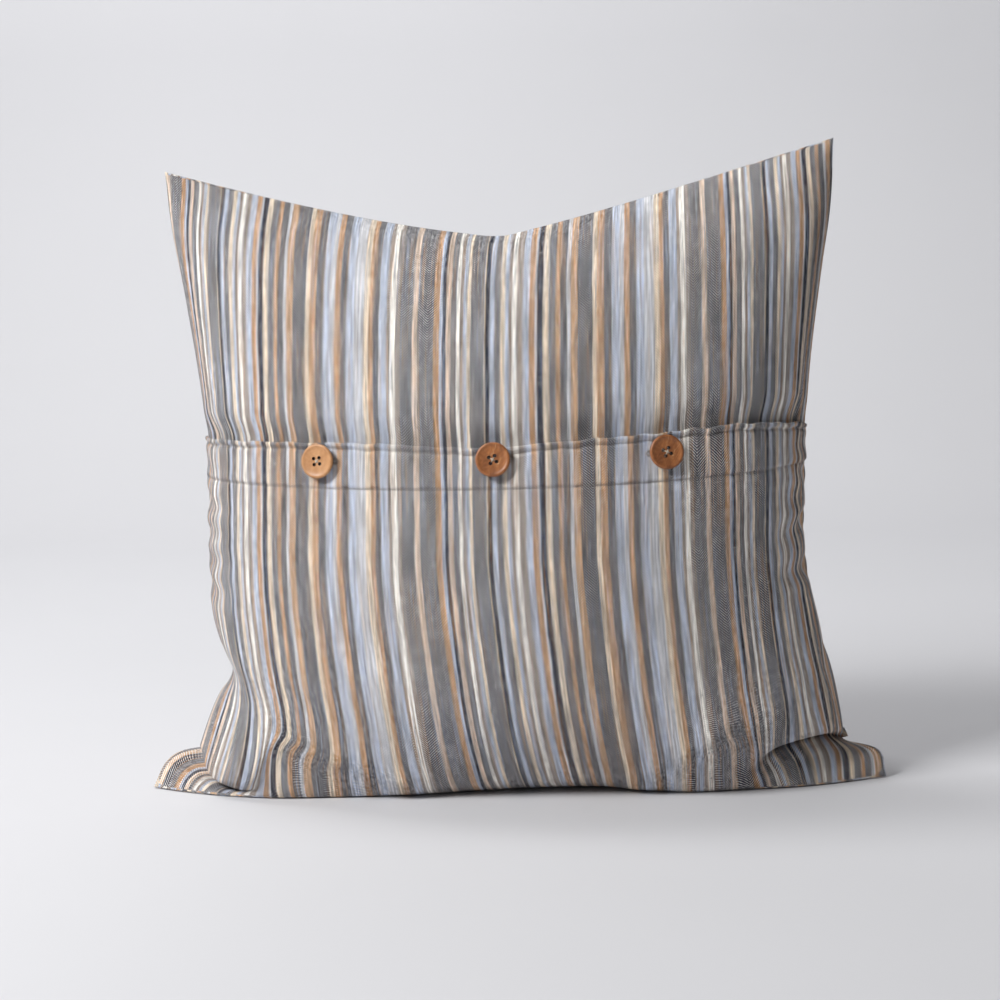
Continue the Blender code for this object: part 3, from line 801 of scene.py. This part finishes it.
def fibre_material():
    shader = Shader("polyester_fibre", roughness=0.95, sheen=0.3)
    place = shader.object_place()
    strands = shader.noise(place, 260.0, 5.0, 0.75)
    shader.colour(shader.mix(strands, srgb(222, 220, 214), srgb(248, 247, 243)))
    shader.bump(strands, 0.002, 0.8)
    return shader.material


def thread_material(name, colour, twist=0.0006):
    """Spun thread: fine slanted plies and small changes of tone."""
    shader = Shader(name, roughness=0.62, sheen=0.25)
    place = shader.object_place()
    x, _, z = shader.split(place)
    plies = shader.math("SINE", shader.times(shader.plus(x, z), 2 * math.pi / twist))
    tone = shader.noise(place, 900.0, 2.0)
    shader.colour(shader.mix(tone, tuple(0.7 * c for c in colour), colour))
    shader.bump(plies, 0.00006, 0.6)
    return shader.material


def coconut_material(name, shell, dark, pale, streaks):
    """Polished coconut shell: fibre streaks, speckle, thin pale cracks and painted shade in the
    drilled holes.
    """
    shader = Shader(name, roughness=0.42)
    shader.surface.inputs["Coat Weight"].default_value = 0.15
    shader.surface.inputs["Coat Roughness"].default_value = 0.35
    place = shader.object_place()
    x, y, z = shader.split(place)
    along = shader.plus(shader.times(x, 0.8), shader.times(y, 0.6))
    over = shader.minus(shader.times(y, 0.8), shader.times(x, 0.6))
    fibres = shader.vector(shader.times(along, 220.0), shader.times(over, 1500.0),
                           shader.times(z, 900.0))
    grain = shader.noise(fibres, 1.0, 4.0, 0.65)
    cloud = shader.noise(place, 190.0, 3.0, 0.6)
    speck = shader.noise(place, 1700.0, 2.0, 0.6)
    body = shader.mix(shader.remap(cloud, 0.3, 0.7), dark, shell)
    body = shader.mix(shader.remap(grain, 0.42, 0.72, 0.0, 0.75 * streaks), body, dark)
    body = shader.mix(shader.remap(speck, 0.60, 0.75, 0.0, 0.5 * streaks), body, pale)

    # thin pale cracks that wander across the fibres
    wander = shader.noise(place, 260.0, 2.0)
    bend = shader.plus(over, shader.remap(wander, 0.2, 0.8, -0.0022, 0.0022))
    share = shader.math("FRACT", shader.math("DIVIDE", bend, CRACK_PITCH))
    crack = shader.math("ABSOLUTE", shader.minus(share, 0.5))
    patch = shader.remap(shader.noise(place, 170.0, 1.0), 0.48, 0.56)
    line = shader.times(shader.remap(crack, 0.0, 0.022, 1.0, 0.0), patch)
    body = shader.mix(shader.math("MULTIPLY", line, streaks, clamp=True), body, pale)

    # painted shade: the colour darkens to near black at each drilled hole, for the shade inside it
    off = [shader.minus(shader.math("ABSOLUTE", axis), HOLE_OFFSET) for axis in (x, y)]
    squares = [shader.times(part, part) for part in off]
    from_hole = shader.math("SQRT", shader.plus(*squares))
    painted_hole_shade = shader.remap(from_hole, HOLE_RADIUS, 1.12 * HOLE_RADIUS, 1.0, 0.0)
    shader.colour(shader.mix(painted_hole_shade, body, srgb(34, 24, 18)))
    shader.plug(shader.remap(grain, 0.3, 0.7, 0.36, 0.52), shader.surface.inputs["Roughness"])
    shader.bump(shader.minus(grain, line), 0.00008, 0.5)
    return shader.material


def paper_material():
    shader = Shader("studio_paper", roughness=0.9)
    drift = shader.noise(shader.object_place(), 3.0, 2.0)
    shader.colour(shader.mix(drift, srgb(212, 212, 215), srgb(216, 216, 219)))
    return shader.material


# ------------------------------------------------------------------ panels of the cover

def ripple(places, seed, longest=0.030, shortest=0.008, waves=9):
    """Sum of a few sine waves, between about -1 and 1, the same each run."""
    rng = np.random.default_rng(seed)
    total = np.zeros(np.shape(places))
    for _ in range(waves):
        length = shortest * (longest / shortest) ** rng.random()
        total += np.sin(2 * np.pi * (places / length + rng.random()))
    return total / math.sqrt(waves)


def edge_sag(across):
    """The free edge dips at the middle button, where the band gathers, and rises to the right."""
    return (-0.0046 * bump_at(across, -0.012, 0.058) + 0.0050 * bump_at(across, 0.170, 0.062)
            + 0.0005 * ripple(across, 11, 0.05, 0.015))


def fade_to_sides(across, reach=0.006):
    return smoothstep(0.0, reach, HALF - np.abs(across))


def band_relief(across, below):
    """How far the band stands proud at a distance below its free edge."""
    lift = 0.0009 * smoothstep(HEM + 0.0016, HEM - 0.0006, below)
    groove = 0.0011 * np.exp(-((below - HEM) / 0.0013) ** 2)
    edge_groove = 0.0014 * np.exp(-((below - EDGE_STITCH) / 0.0014) ** 2)
    ridge = 0.0011 * smoothstep(EDGE_STITCH + 0.0004, EDGE_STITCH - 0.0022, below)
    groove = groove * (1.0 + 0.45 * ripple(across, 3, 0.024, 0.007))
    edge_groove = edge_groove * (1.0 + 0.45 * ripple(across, 4, 0.022, 0.007))
    ridge = ridge * (1.0 + 0.30 * ripple(across, 5, 0.026, 0.009)) * fade_to_sides(across, 0.016)
    pucker = 0.00035 * ripple(across, 6, 0.020, 0.007) * (
        np.exp(-((below - EDGE_STITCH) / 0.006) ** 2) + np.exp(-((below - HEM) / 0.007) ** 2))
    return lift - groove - edge_groove + ridge + pucker


def lower_front_panel(front):
    """The lower front panel, its hem rolled over the free edge and down behind."""
    columns = np.linspace(-HALF, HALF, 193)
    rows = np.concatenate([np.linspace(0.0, FREE_EDGE - HEM - 0.008, 96),
                           np.arange(FREE_EDGE - HEM - 0.0065, FREE_EDGE - 0.0012, 0.0010)])
    place, normal = front.read(columns, rows)
    below = FREE_EDGE - rows[:, None] + np.zeros((1, len(columns)))
    fade = fade_to_sides(columns)[None, :]
    sag = edge_sag(columns)[None, :] * smoothstep(HEM, EDGE_STITCH + 0.004, below) * fade
    up_way = np.gradient(place, rows, axis=0)
    up_way /= np.linalg.norm(up_way, axis=-1, keepdims=True)
    lift = band_relief(columns[None, :] + np.zeros_like(below), below) * fade
    near_band = smoothstep(HEM + 0.012, HEM + 0.002, below)
    place = place + normal * (lift * near_band)[..., None] + up_way * sag[..., None]
    # the roll over the free edge, as (further up, further out) from the last row
    roll = [(0.0008, 0.0001), (0.0014, -0.0005), (0.0015, -0.0012), (0.0010, -0.0019),
            (0.0000, -0.0022)]
    rim_share = fade_to_sides(columns, 0.016)[:, None]
    rolled = [place[-1] + (up_way[-1] * up + normal[-1] * out) * rim_share for up, out in roll]
    tail = np.arange(2, 11)
    hidden = [place[-step] - normal[-step] * (0.0022 * rim_share) for step in tail]
    place = np.concatenate([place, np.stack(rolled + hidden)])
    rows = np.concatenate([rows, rows[-1] + 0.0012 * np.arange(1, len(roll) + len(tail) + 1)])
    return grid_piece("lower_front_panel", place, columns, rows)


def upper_front_panel(front):
    """The upper front panel, tucked in under the band."""
    columns = np.linspace(-HALF, HALF, 193)
    rows = np.linspace(FREE_EDGE - UNDERLAP, PANEL, 84)
    place, normal = front.read(columns, rows)
    above = rows[:, None] - FREE_EDGE + np.zeros((1, len(columns)))
    fade = fade_to_sides(columns)[None, :]
    above = above - edge_sag(columns)[None, :]
    deep = fade_to_sides(columns, 0.032)[None, :]
    tuck = (0.0009 + 0.0036 * deep) * (1.0 - smoothstep(0.000, 0.020, above))
    drag = 0.0008 * ripple(columns, 21, 0.034, 0.010)[None, :] * np.exp(-(above / 0.020) ** 2)
    place = place - normal * (tuck - drag * fade)[..., None]
    return grid_piece("upper_front_panel", place, columns, rows)


def back_panel(back):
    columns = np.linspace(-HALF, HALF, 161)
    rows = np.linspace(0.0, PANEL, 161)
    place, _ = back.read(columns, rows)
    return grid_piece("back_panel", place, columns, rows, flip=True)


# ------------------------------------------------------------------ inside the cover

def panel_tree(panels):
    """One search tree over the faces of several panels."""
    spots = []
    faces = []
    for panel in panels:
        first = len(spots)
        spots += [vertex.co.copy() for vertex in panel.data.vertices]
        faces += [[first + corner for corner in face.vertices] for face in panel.data.polygons]
    return BVHTree.FromPolygons(spots, faces)


def kept_inside(places, tree, gap):
    """Places drawn in towards the heart of the cushion until they clear the cover."""
    held = places.copy()
    for spot in held.reshape(-1, 3):
        heart = Vector((0.55 * spot[0], 0.0, min(max(spot[2], 0.10), 0.27)))
        way = Vector(spot) - heart
        reach = way.length
        hit, _, _, distance = tree.ray_cast(heart, way.normalized(), reach + gap)
        if hit is not None:
            spot[:] = heart + way.normalized() * max(distance - gap, 0.0)
    return held


def inner_faces(front, back, tree, inset, depth, gap, cells=48):
    """Front and back of a smaller cushion inside the cover, which meet in the middle."""
    columns = np.linspace(-HALF + inset, HALF - inset, cells + 1)
    rows = np.linspace(inset * 0.7, PANEL - inset, cells + 1)
    near, _ = front.read(columns, rows)
    far, _ = back.read(columns, rows)
    middle = (near + far) / 2
    reach = np.linalg.norm(near - middle, axis=-1, keepdims=True)
    keep = np.clip(1.0 - depth / np.maximum(reach, 1e-6), 0.30, 1.0)
    from_edge = np.minimum(HALF - inset - np.abs(columns)[None, :],
                           np.minimum(rows - rows[0], rows[-1] - rows)[:, None])
    dome = np.sqrt(np.clip(from_edge / 0.022, 0.0, 1.0))[..., None]
    corner = (smoothstep(0.11, 0.22, np.abs(columns))[None, :]
              * (1.0 - smoothstep(0.03, 0.13, rows))[:, None])
    for part in (middle, near, far):
        part[..., 0] *= 1.0 - 0.20 * corner
    middle[..., 2] += 0.012 * corner
    faces = (kept_inside(middle + (part - middle) * keep * dome, tree, gap)
             for part in (near, far))
    return (*faces, columns, rows)


def insert_shell(name, places, columns, rows, flip):
    item = grid_piece(name, places, columns, rows, flip=flip)
    thicken(item, 0.0006)
    return item


def fill_lump(front, back, tree):
    """The fibre as one closed lump just inside the ticking."""
    near, far, _, rows = inner_faces(front, back, tree, 0.024, 0.0105, 0.011, cells=40)
    count = len(rows)
    shape = bmesh.new()
    nearer = [[shape.verts.new(near[j, i]) for i in range(count)] for j in range(count)]
    inside = range(1, count - 1)
    farther = [[shape.verts.new(far[j, i]) if j in inside and i in inside
                else nearer[j][i] for i in range(count)] for j in range(count)]
    for j in range(count - 1):
        for i in range(count - 1):
            shape.faces.new((nearer[j][i], nearer[j][i + 1], nearer[j + 1][i + 1],
                             nearer[j + 1][i]))
            shape.faces.new((farther[j][i], farther[j + 1][i], farther[j + 1][i + 1],
                             farther[j][i + 1]))
    mesh = bpy.data.meshes.new("fibre_lump")
    shape.to_mesh(mesh)
    shape.free()
    mesh.shade_smooth()
    return link("fibre_lump", mesh)


def seam_allowance(name, line, inward, flat):
    """Raw edges inside a seam: a narrow double strip that follows the seam."""
    shares = (0.0040, 0.0065, 0.0090, 0.0115)
    place = np.stack([line + inward * share for share in shares])
    item = grid_piece(name, place, flat, shares)
    thicken(item, 0.0010, offset=0.0)
    return item


def add_seam_allowances(front, cloth):
    """Side and top seams, read along the rim of the relaxed cover, and the flat bottom one."""
    def rim(columns, rows):
        place, _ = front.read(columns, rows)
        return place.reshape(-1, 3)

    ups = np.linspace(RAW_FROM, PANEL - RAW_MARGIN, 80)
    acrosses = np.linspace(-HALF + RAW_MARGIN, HALF - RAW_MARGIN, 90)
    lines = {
        "left": (rim([-HALF], ups), 1.0, ups),
        "right": (rim([HALF], ups), -1.0, ups),
        "top": (rim(acrosses, [PANEL]), -1.0, acrosses),
    }
    for side, (line, sign, flat) in lines.items():
        along = np.gradient(line, axis=0)
        inward = np.stack([along[:, 2], np.zeros(len(line)), -along[:, 0]], axis=-1)
        if side == "top":
            inward = -inward
        inward *= sign / np.linalg.norm(inward, axis=-1, keepdims=True)
        if side == "top":
            inward = np.where(inward[:, 2:3] > 0, -inward, inward)
        item = seam_allowance(side + "_raw_edges", line, inward, flat)
        item.data.materials.append(cloth)
        declare(item, "root", "cover_cloth", side + "_seam_allowance")
    acrosses = np.linspace(-RAW_BOTTOM_HALF, RAW_BOTTOM_HALF, 60)
    line = rim(acrosses, [0.0]) + np.array([0.0, 0.0, 0.0022])
    item = seam_allowance("bottom_raw_edges", line, np.array([0.0, 1.0, 0.0]), acrosses)
    item.data.materials.append(cloth)
    declare(item, "root", "cover_cloth", "bottom_seam_allowance")


# ------------------------------------------------------------------ stitching

def tube(shape, path, radius, sides=6, taper=0.55):
    """Round thread through a list of places, a little thinner at both ends, closed."""
    rings = []
    last = len(path) - 1
    for k, spot in enumerate(path):
        along = (path[min(k + 1, last)] - path[max(k - 1, 0)]).normalized()
        side = along.orthogonal().normalized()
        other = along.cross(side)
        size = radius * (taper if k in (0, last) else 1.0)
        turns = [2 * math.pi * i / sides for i in range(sides)]
        ways = [side * math.cos(turn) + other * math.sin(turn) for turn in turns]
        rings.append([shape.verts.new(spot + way * size) for way in ways])
    for ring, following in zip(rings, rings[1:]):
        twist = closest_turn(ring, following)
        for i in range(sides):
            shape.faces.new((ring[i], ring[(i + 1) % sides],
                             following[(i + 1 + twist) % sides], following[(i + twist) % sides]))
    shape.faces.new(rings[0][::-1])
    shape.faces.new(rings[-1])


def closest_turn(ring, following):
    """How many places to turn the next ring so that the tube doesn't twist."""
    gaps = [(following[k].co - ring[0].co).length for k in range(len(following))]
    return gaps.index(min(gaps))


def mesh_piece(name, shape, material):
    bmesh.ops.recalc_face_normals(shape, faces=shape.faces)
    mesh = bpy.data.meshes.new(name)
    shape.to_mesh(mesh)
    shape.free()
    mesh.shade_smooth()
    mesh.materials.append(material)
    return link(name, mesh)


def surface_reader(item):
    """Finds the outside of a finished panel straight behind a place near it."""
    mesh = item.data
    tree = BVHTree.FromPolygons([v.co.copy() for v in mesh.vertices],
                                [tuple(p.vertices) for p in mesh.polygons])

    def read(place, normal):
        hit, _, _, _ = tree.ray_cast(place + normal * 0.02, -normal, 0.04)
        return hit if hit is not None else place
    return read


def stitch_row(name, front, panel, below, material, pitch=0.0032, length=0.0022):
    """A row of separate straight stitches, each sunk at its ends."""
    shape = bmesh.new()
    read = surface_reader(panel)
    count = int((PANEL - 0.012) / pitch)
    start = -count * pitch / 2
    centres = start + pitch * (np.arange(count) + 0.5)
    offsets = np.linspace(-length / 2, length / 2, 5)
    spots = (centres[:, None] + offsets[None, :]).ravel()
    place, normal = front.read(spots, [FREE_EDGE - below])
    place, normal = place[0], normal[0]
    if below < HEM / 2:
        slide = edge_sag(spots) * fade_to_sides(spots)
        shifted, _ = front.read(spots, [FREE_EDGE - below + 0.001])
        way = shifted[0] - place
        way /= np.linalg.norm(way, axis=-1, keepdims=True)
        place = place + way * slide[:, None]
    for k in range(count):
        path = []
        for i in range(len(offsets)):
            spot = Vector(place[k * 5 + i])
            out = Vector(normal[k * 5 + i])
            arch = 0.00022 * math.sin(math.pi * i / 4) - 0.00006
            path.append(read(spot, out) + out * arch)
        tube(shape, path, 0.00021)
    return mesh_piece(name, shape, material)


def round_end(middle, radius, turn):
    """Place and outward direction on the round end of a slot."""
    x, y = math.cos(turn), math.sin(turn)
    return (middle + radius * x, radius * y), (x, y)


def slot_outline(length, width, count):
    """Places and outward directions round a long round-ended slot, evenly spaced."""
    radius = width / 2
    straight = length / 2 - radius
    total = 4 * straight + 2 * math.pi * radius
    outline = []
    for k in range(count):
        run = total * k / count
        if run < 2 * straight:
            outline.append(((run - straight, -radius), (0.0, -1.0)))
        elif run < 2 * straight + math.pi * radius:
            outline.append(round_end(straight, radius,
                                     (run - 2 * straight) / radius - math.pi / 2))
        elif run < 4 * straight + math.pi * radius:
            outline.append(((3 * straight + math.pi * radius - run, radius), (0.0, 1.0)))
        else:
            turn = (run - 4 * straight - math.pi * radius) / radius + math.pi / 2
            outline.append(round_end(-straight, radius, turn))
    return outline


def satin_ring(name, seat, panel, material):
    """Close satin stitches round a buttonhole, each thread over the raw edge."""
    shape = bmesh.new()
    read = surface_reader(panel)
    out = (seat.to_3x3() @ Vector((0, 0, 1))).normalized()
    for (x, y), (dx, dy) in slot_outline(SLOT_LENGTH, SLOT_WIDTH, 96):
        path = []
        for share, arch in ((0.0, 0.0), (0.35, 0.00016), (0.7, 0.00018), (1.0, 0.0)):
            reach = SATIN_WIDTH * share
            spot = seat @ Vector((x + dx * reach, y + dy * reach, 0.0))
            path.append(read(spot, out) + out * (0.00012 + arch))
        tube(shape, path, 0.00024, sides=5, taper=0.8)
    return mesh_piece(name, shape, material)


# ------------------------------------------------------------------ buttons

BUTTON_RADIUS = 0.0115
BUTTON_THICK = 0.0030
BUTTON_DISH = 0.0005
BUTTON_LIFT = 0.0030     # button back above the plain cloth; the band's hem fills part of it
BUTTON_DENT = 0.0012     # how far each button's thread draws the cloth in, so it can tip
HOLE_OFFSET = 0.0020
HOLE_RADIUS = 0.00115
SLOT_LENGTH = 0.0250
SLOT_WIDTH = 0.0010
SATIN_WIDTH = 0.0016
CRACK_PITCH = 0.0075     # distance between the shell's pale cracks
BUTTON_ROLL = {"left": 8.0, "middle": 16.0, "right": 21.0}


def button_seat(joint, tip):
    """Placement of a button from its two joints: +Z out of the band, +X along the slot."""
    out = Vector(joint["axis"]).normalized()
    wide = Vector(tip["axis"]).normalized()
    wide = (wide - out * wide.dot(out)).normalized()
    turn = Matrix((wide, out.cross(wide), out)).transposed()
    return Matrix.Translation(Vector(joint["pos_m"])) @ turn.to_4x4()


def button_disc(name, material):
    """Turned button with a worn rim, a dished face and four drilled holes."""
    rim_in = BUTTON_RADIUS - 0.0021
    face = BUTTON_THICK - BUTTON_DISH
    profile = [(0.0, 0.0), (BUTTON_RADIUS - 0.0016, 0.0), (BUTTON_RADIUS - 0.0008, 0.00015),
               (BUTTON_RADIUS - 0.0002, 0.0006), (BUTTON_RADIUS, 0.0012),
               (BUTTON_RADIUS - 0.00005, BUTTON_THICK - 0.0010),
               (BUTTON_RADIUS - 0.0003, BUTTON_THICK - 0.0004),
               (BUTTON_RADIUS - 0.0008, BUTTON_THICK - 0.00008),
               (BUTTON_RADIUS - 0.0013, BUTTON_THICK), (rim_in + 0.0003, BUTTON_THICK - 0.00006),
               (rim_in - 0.0002, BUTTON_THICK - 0.0003), (rim_in - 0.0008, face),
               (rim_in - 0.0030, face - 0.00010), (0.0, face - 0.00015)]
    shape = bmesh.new()
    dots = [shape.verts.new((radius, 0.0, height)) for radius, height in profile]
    edges = [shape.edges.new(pair) for pair in zip(dots, dots[1:])]
    bmesh.ops.spin(shape, geom=dots + edges, cent=(0, 0, 0), axis=(0, 0, 1),
                   angle=2 * math.pi, steps=72, use_duplicate=False)
    bmesh.ops.remove_doubles(shape, verts=shape.verts, dist=1e-6)
    button = mesh_piece(name, shape, material)
    drill = bmesh.new()
    for x in (-HOLE_OFFSET, HOLE_OFFSET):
        for y in (-HOLE_OFFSET, HOLE_OFFSET):
            bmesh.ops.create_cone(drill, cap_ends=True, segments=24, radius1=HOLE_RADIUS,
                                  radius2=HOLE_RADIUS, depth=0.012,
                                  matrix=Matrix.Translation((x, y, 0)))
    cutter = mesh_piece(name + "_drill", drill, material)
    cut_with(button, cutter)
    button.data.set_sharp_from_angle(angle=math.radians(35))
    return button


def cut_with(item, cutter):
    """Cuts one piece with another for good, and removes the cutter."""
    modifier = item.modifiers.new("Cut", "BOOLEAN")
    modifier.object = cutter
    modifier.solver = "EXACT"
    bpy.context.view_layer.update()
    graph = bpy.context.evaluated_depsgraph_get()
    mesh = bpy.data.meshes.new_from_object(item.evaluated_get(graph))
    item.modifiers.remove(modifier)
    item.data = mesh
    bpy.data.objects.remove(cutter, do_unlink=True)


def strands(name, runs, radius, material, steps=9):
    """Several threads, each through its own list of places, drawn as smooth curves."""
    shape = bmesh.new()
    for run in runs:
        run = [Vector(spot) for spot in run]
        path = []
        for k in range(steps * (len(run) - 1) + 1):
            j = min(k // steps, len(run) - 2)
            u = k / steps - j
            before, start = run[max(j - 1, 0)], run[j]
            end, after = run[j + 1], run[min(j + 2, len(run) - 1)]
            path.append(0.5 * ((2 * start) + (end - before) * u
                               + (2 * before - 5 * start + 4 * end - after) * u ** 2
                               + (3 * start - before - 3 * end + after) * u ** 3))
        tube(shape, path, radius, sides=8, taper=0.9)
    return mesh_piece(name, shape, material)


def cross_runs():
    """Two threads each way between opposite holes, drawn tight over the middle."""
    face = BUTTON_THICK - BUTTON_DISH - 0.0001
    reach = HOLE_OFFSET - 0.0007
    runs = []
    for k, direction in enumerate((1, -1)):
        rise = face + 0.00022 + 0.00030 * k
        for side in (-1, 1):
            sx, sy = 0.00017 * side, -0.00017 * side * direction
            down = (0.0004, face - 0.0009)
            run = [(-reach + sx, -direction * reach + sy, height) for height in down]
            run += [(share * reach + sx, share * direction * reach + sy, height)
                    for share, height in ((-0.62, face + 0.0001), (0.0, rise + 0.0001),
                                          (0.62, face + 0.0001))]
            run += [(reach + sx, direction * reach + sy, height) for height in down[::-1]]
            runs.append(run)
    return runs


def shank_runs(length):
    """Upright threads and the wraps wound round them under a button."""
    runs = []
    for k in range(6):
        turn = 2 * math.pi * k / 6
        x, y = 0.00055 * math.cos(turn), 0.00055 * math.sin(turn)
        runs.append([(x, y, 0.0), (x, y, length / 2), (x, y, length)])
    coil = []
    for k in range(25):
        turn = 2 * math.pi * k / 6
        coil.append((0.00095 * math.cos(turn), 0.00095 * math.sin(turn),
                     0.0004 + (length - 0.0008) * k / 24))
    runs.append(coil)
    return runs


def add_button(side, panel, materials):
    joints = {joint["name"]: joint for joint in frame["joints"]}
    turn = joints[side + "_button_turn"]
    tip = joints[side + "_button_tip"]
    seat = button_seat(turn, tip)
    spun = seat @ Matrix.Rotation(math.radians(BUTTON_ROLL[side]), 4, "Z")
    disc = button_disc(side + "_coconut_button", materials[side])
    disc.matrix_world = spun
    declare(disc, side + "_disc", "coconut_shell", side + "_button")
    cross = strands(side + "_button_thread", cross_runs(), 0.00018, materials["cream"])
    cross.matrix_world = spun
    declare(cross, side + "_disc", "cream_thread", side + "_button_cross_thread")
    base = Vector(tip["pos_m"])
    length = (Vector(turn["pos_m"]) - base).length - 0.0003
    foot = seat.copy()
    foot.translation = base
    shank = strands(side + "_thread_shank", shank_runs(length), 0.00028, materials["cream"], 5)
    shank.matrix_world = foot
    declare(shank, side + "_shank", "cream_thread", side + "_button_shank")
    ring = satin_ring(side + "_buttonhole_satin", seat, panel, materials["tonal"])
    declare(ring, "root", "tonal_thread", side + "_buttonhole_stitching")


def seat_band(front):
    """Eases the front to pass just under each button of the frame, and dents it there."""
    for joint in frame["joints"]:
        if not joint["name"].endswith("_turn"):
            continue
        out = Vector(joint["axis"]).normalized()
        wanted = np.array(Vector(joint["pos_m"]) - out * BUTTON_LIFT)
        spread = np.linalg.norm(front.grid - wanted, axis=-1)
        share = np.exp(-(spread / 0.045) ** 2)
        nearest = np.unravel_index(np.argmin(spread), spread.shape)
        gap = (wanted - front.grid[nearest]) @ np.array(out)
        front.grid += (share * gap)[..., None] * np.array(out)
        over = (front.grid - wanted) @ np.array(out)
        aside = np.linalg.norm(front.grid - wanted - over[..., None] * np.array(out), axis=-1)
        pressed = np.maximum(over + BUTTON_DENT, 0.0) * smoothstep(0.022, 0.013, aside)
        front.grid -= pressed[..., None] * np.array(out)
    front.normals = grid_normals(front.grid)


front_grid, back_grid = (finer(grid, FINE) for grid in relax_cover())
inner_front = Sheet(front_grid.copy(), 1.0)
inner_back = Sheet(back_grid.copy(), -1.0)
for side in (-1, 1):
    fold_corner(front_grid, back_grid, side)
front = Sheet(front_grid, 1.0)
back = Sheet(back_grid, -1.0)
seat_band(front)

tonal_thread = thread_material("tonal_thread", srgb(176, 168, 162))
cream_thread = thread_material("cream_thread", srgb(232, 218, 196))
lower_cloth = striped_cloth("striped_cloth_lower", shaded_stitch_rows=(FREE_EDGE - HEM,))
upper_cloth = striped_cloth("striped_cloth_upper", 0.0012)
back_cloth = striped_cloth("striped_cloth_back", 0.061)
ticking = plain_weave("ticking_cloth", srgb(240, 238, 232))

lower = lower_front_panel(front)
upper = upper_front_panel(front)
rear = back_panel(back)
for item, cloth, nodes in ((lower, lower_cloth, ("cover_lower_front_panel", "buttonhole_band")),
                           (upper, upper_cloth, ("cover_upper_front_panel",)),
                           (rear, back_cloth, ("cover_back_panel",))):
    item.data.materials.append(cloth)
    thicken(item, CLOTH)
    declare(item, "root", "cover_cloth", *nodes)

stand_columns = np.linspace(-0.225, 0.225, 90)
stand_rows = np.linspace(FREE_EDGE - UNDERLAP + 0.002, FREE_EDGE, 12)
stand_place, stand_normal = front.read(stand_columns, stand_rows)
stand = grid_piece("button_stand_hem", stand_place - stand_normal * STAND_DEPTH,
                   stand_columns, stand_rows)
stand.data.materials.append(upper_cloth)
thicken(stand, CLOTH)
declare(stand, "root", "cover_cloth", "button_stand")

cover_tree = panel_tree((lower, upper, rear))
near, far, insert_columns, insert_rows = inner_faces(inner_front, inner_back, cover_tree,
                                                     0.020, 0.0085, 0.0065)
for name, places, flip, node in (("insert_front", near, False, "insert_front_shell"),
                                 ("insert_back", far, True, "insert_back_shell")):
    item = insert_shell(name, places, insert_columns, insert_rows, flip)
    item.data.materials.append(ticking)
    declare(item, "root", "insert_ticking", node)
fill = fill_lump(inner_front, inner_back, cover_tree)
fill.data.materials.append(fibre_material())
declare(fill, "root", "fibre_fill", "fibre_fill")

add_seam_allowances(front, back_cloth)
for name, below, node in (("edge_stitches", EDGE_STITCH, "band_edge_topstitch"),
                          ("lower_stitches", HEM, "band_lower_topstitch")):
    row = stitch_row(name, front, lower, below, tonal_thread)
    declare(row, "root", "tonal_thread", node)

button_materials = {
    "left": coconut_material("coconut_smooth", srgb(208, 156, 108), srgb(176, 122, 76),
                             srgb(230, 190, 144), 0.45),
    "middle": coconut_material("coconut_streaked", srgb(186, 118, 66), srgb(118, 66, 32),
                               srgb(232, 184, 130), 1.0),
    "right": coconut_material("coconut_streaked_too", srgb(180, 114, 64), srgb(112, 62, 32),
                              srgb(228, 178, 126), 0.9),
    "cream": cream_thread,
    "tonal": tonal_thread,
}
for side in ("left", "middle", "right"):
    add_button(side, lower, button_materials)


# ------------------------------------------------------------------ studio and camera

def studio():
    """Paper on the floor, swept up behind the pillow."""
    start, radius, height = 1.2, 0.6, 3.0
    floor_mesh = bpy.data.meshes.new("studio_floor")
    bm = bmesh.new()
    profile = [(-3.0, 0.0), (start, 0.0)]
    for k in range(1, 13):
        turn = math.pi / 2 * k / 12
        profile.append((start + radius * math.sin(turn), radius * (1 - math.cos(turn))))
    profile.append((start + radius, height))
    lines = [[bm.verts.new((x, y, z)) for y, z in profile] for x in (-4.0, 4.0)]
    for i in range(len(profile) - 1):
        bm.faces.new((lines[0][i], lines[1][i], lines[1][i + 1], lines[0][i + 1]))
    bm.to_mesh(floor_mesh)
    bm.free()
    floor_mesh.shade_smooth()
    floor = link("studio_floor", floor_mesh)
    floor.data.materials.append(paper_material())


def area_light(name, place, aim, size, power):
    lamp = bpy.data.lights.new(name, "AREA")
    lamp.size = size
    lamp.energy = power
    item = link(name, lamp)
    item.location = place
    item.rotation_euler = (Vector(aim) - Vector(place)).to_track_quat("-Z", "Y").to_euler()


def lights():
    area_light("key", (-1.33, -1.12, 1.56), (0, 0, 0.2), 0.8, 46)
    area_light("backdrop_light", (-0.7, 0.6, 2.2), (0.0, 1.8, 0.9), 1.0, 28)
    world = bpy.data.worlds.new("studio")
    bpy.context.scene.world = world
    world.use_nodes = True
    world.node_tree.nodes["Background"].inputs[0].default_value = (1, 1, 1, 1)
    world.node_tree.nodes["Background"].inputs[1].default_value = 0.18
    bpy.context.scene.view_settings.view_transform = "Standard"


def camera():
    data = bpy.data.cameras.new("camera")
    item = link("camera", data)
    azimuth, elevation, roll = math.radians(5.0), math.radians(7.0), math.radians(1.7)
    distance = 1.8
    aim = Vector((-0.007, 0.0, 0.195))
    level = math.cos(elevation)
    away = Vector((math.sin(azimuth) * level, -math.cos(azimuth) * level, math.sin(elevation)))
    item.location = aim + away * distance
    turn = (-away).to_track_quat("-Z", "Y").to_matrix() @ Matrix.Rotation(-roll, 3, "Z")
    item.rotation_euler = turn.to_euler()
    data.sensor_width = 36.0
    data.lens = 36.0 * distance / 0.694
    bpy.context.scene.camera = item


studio()
lights()
camera()
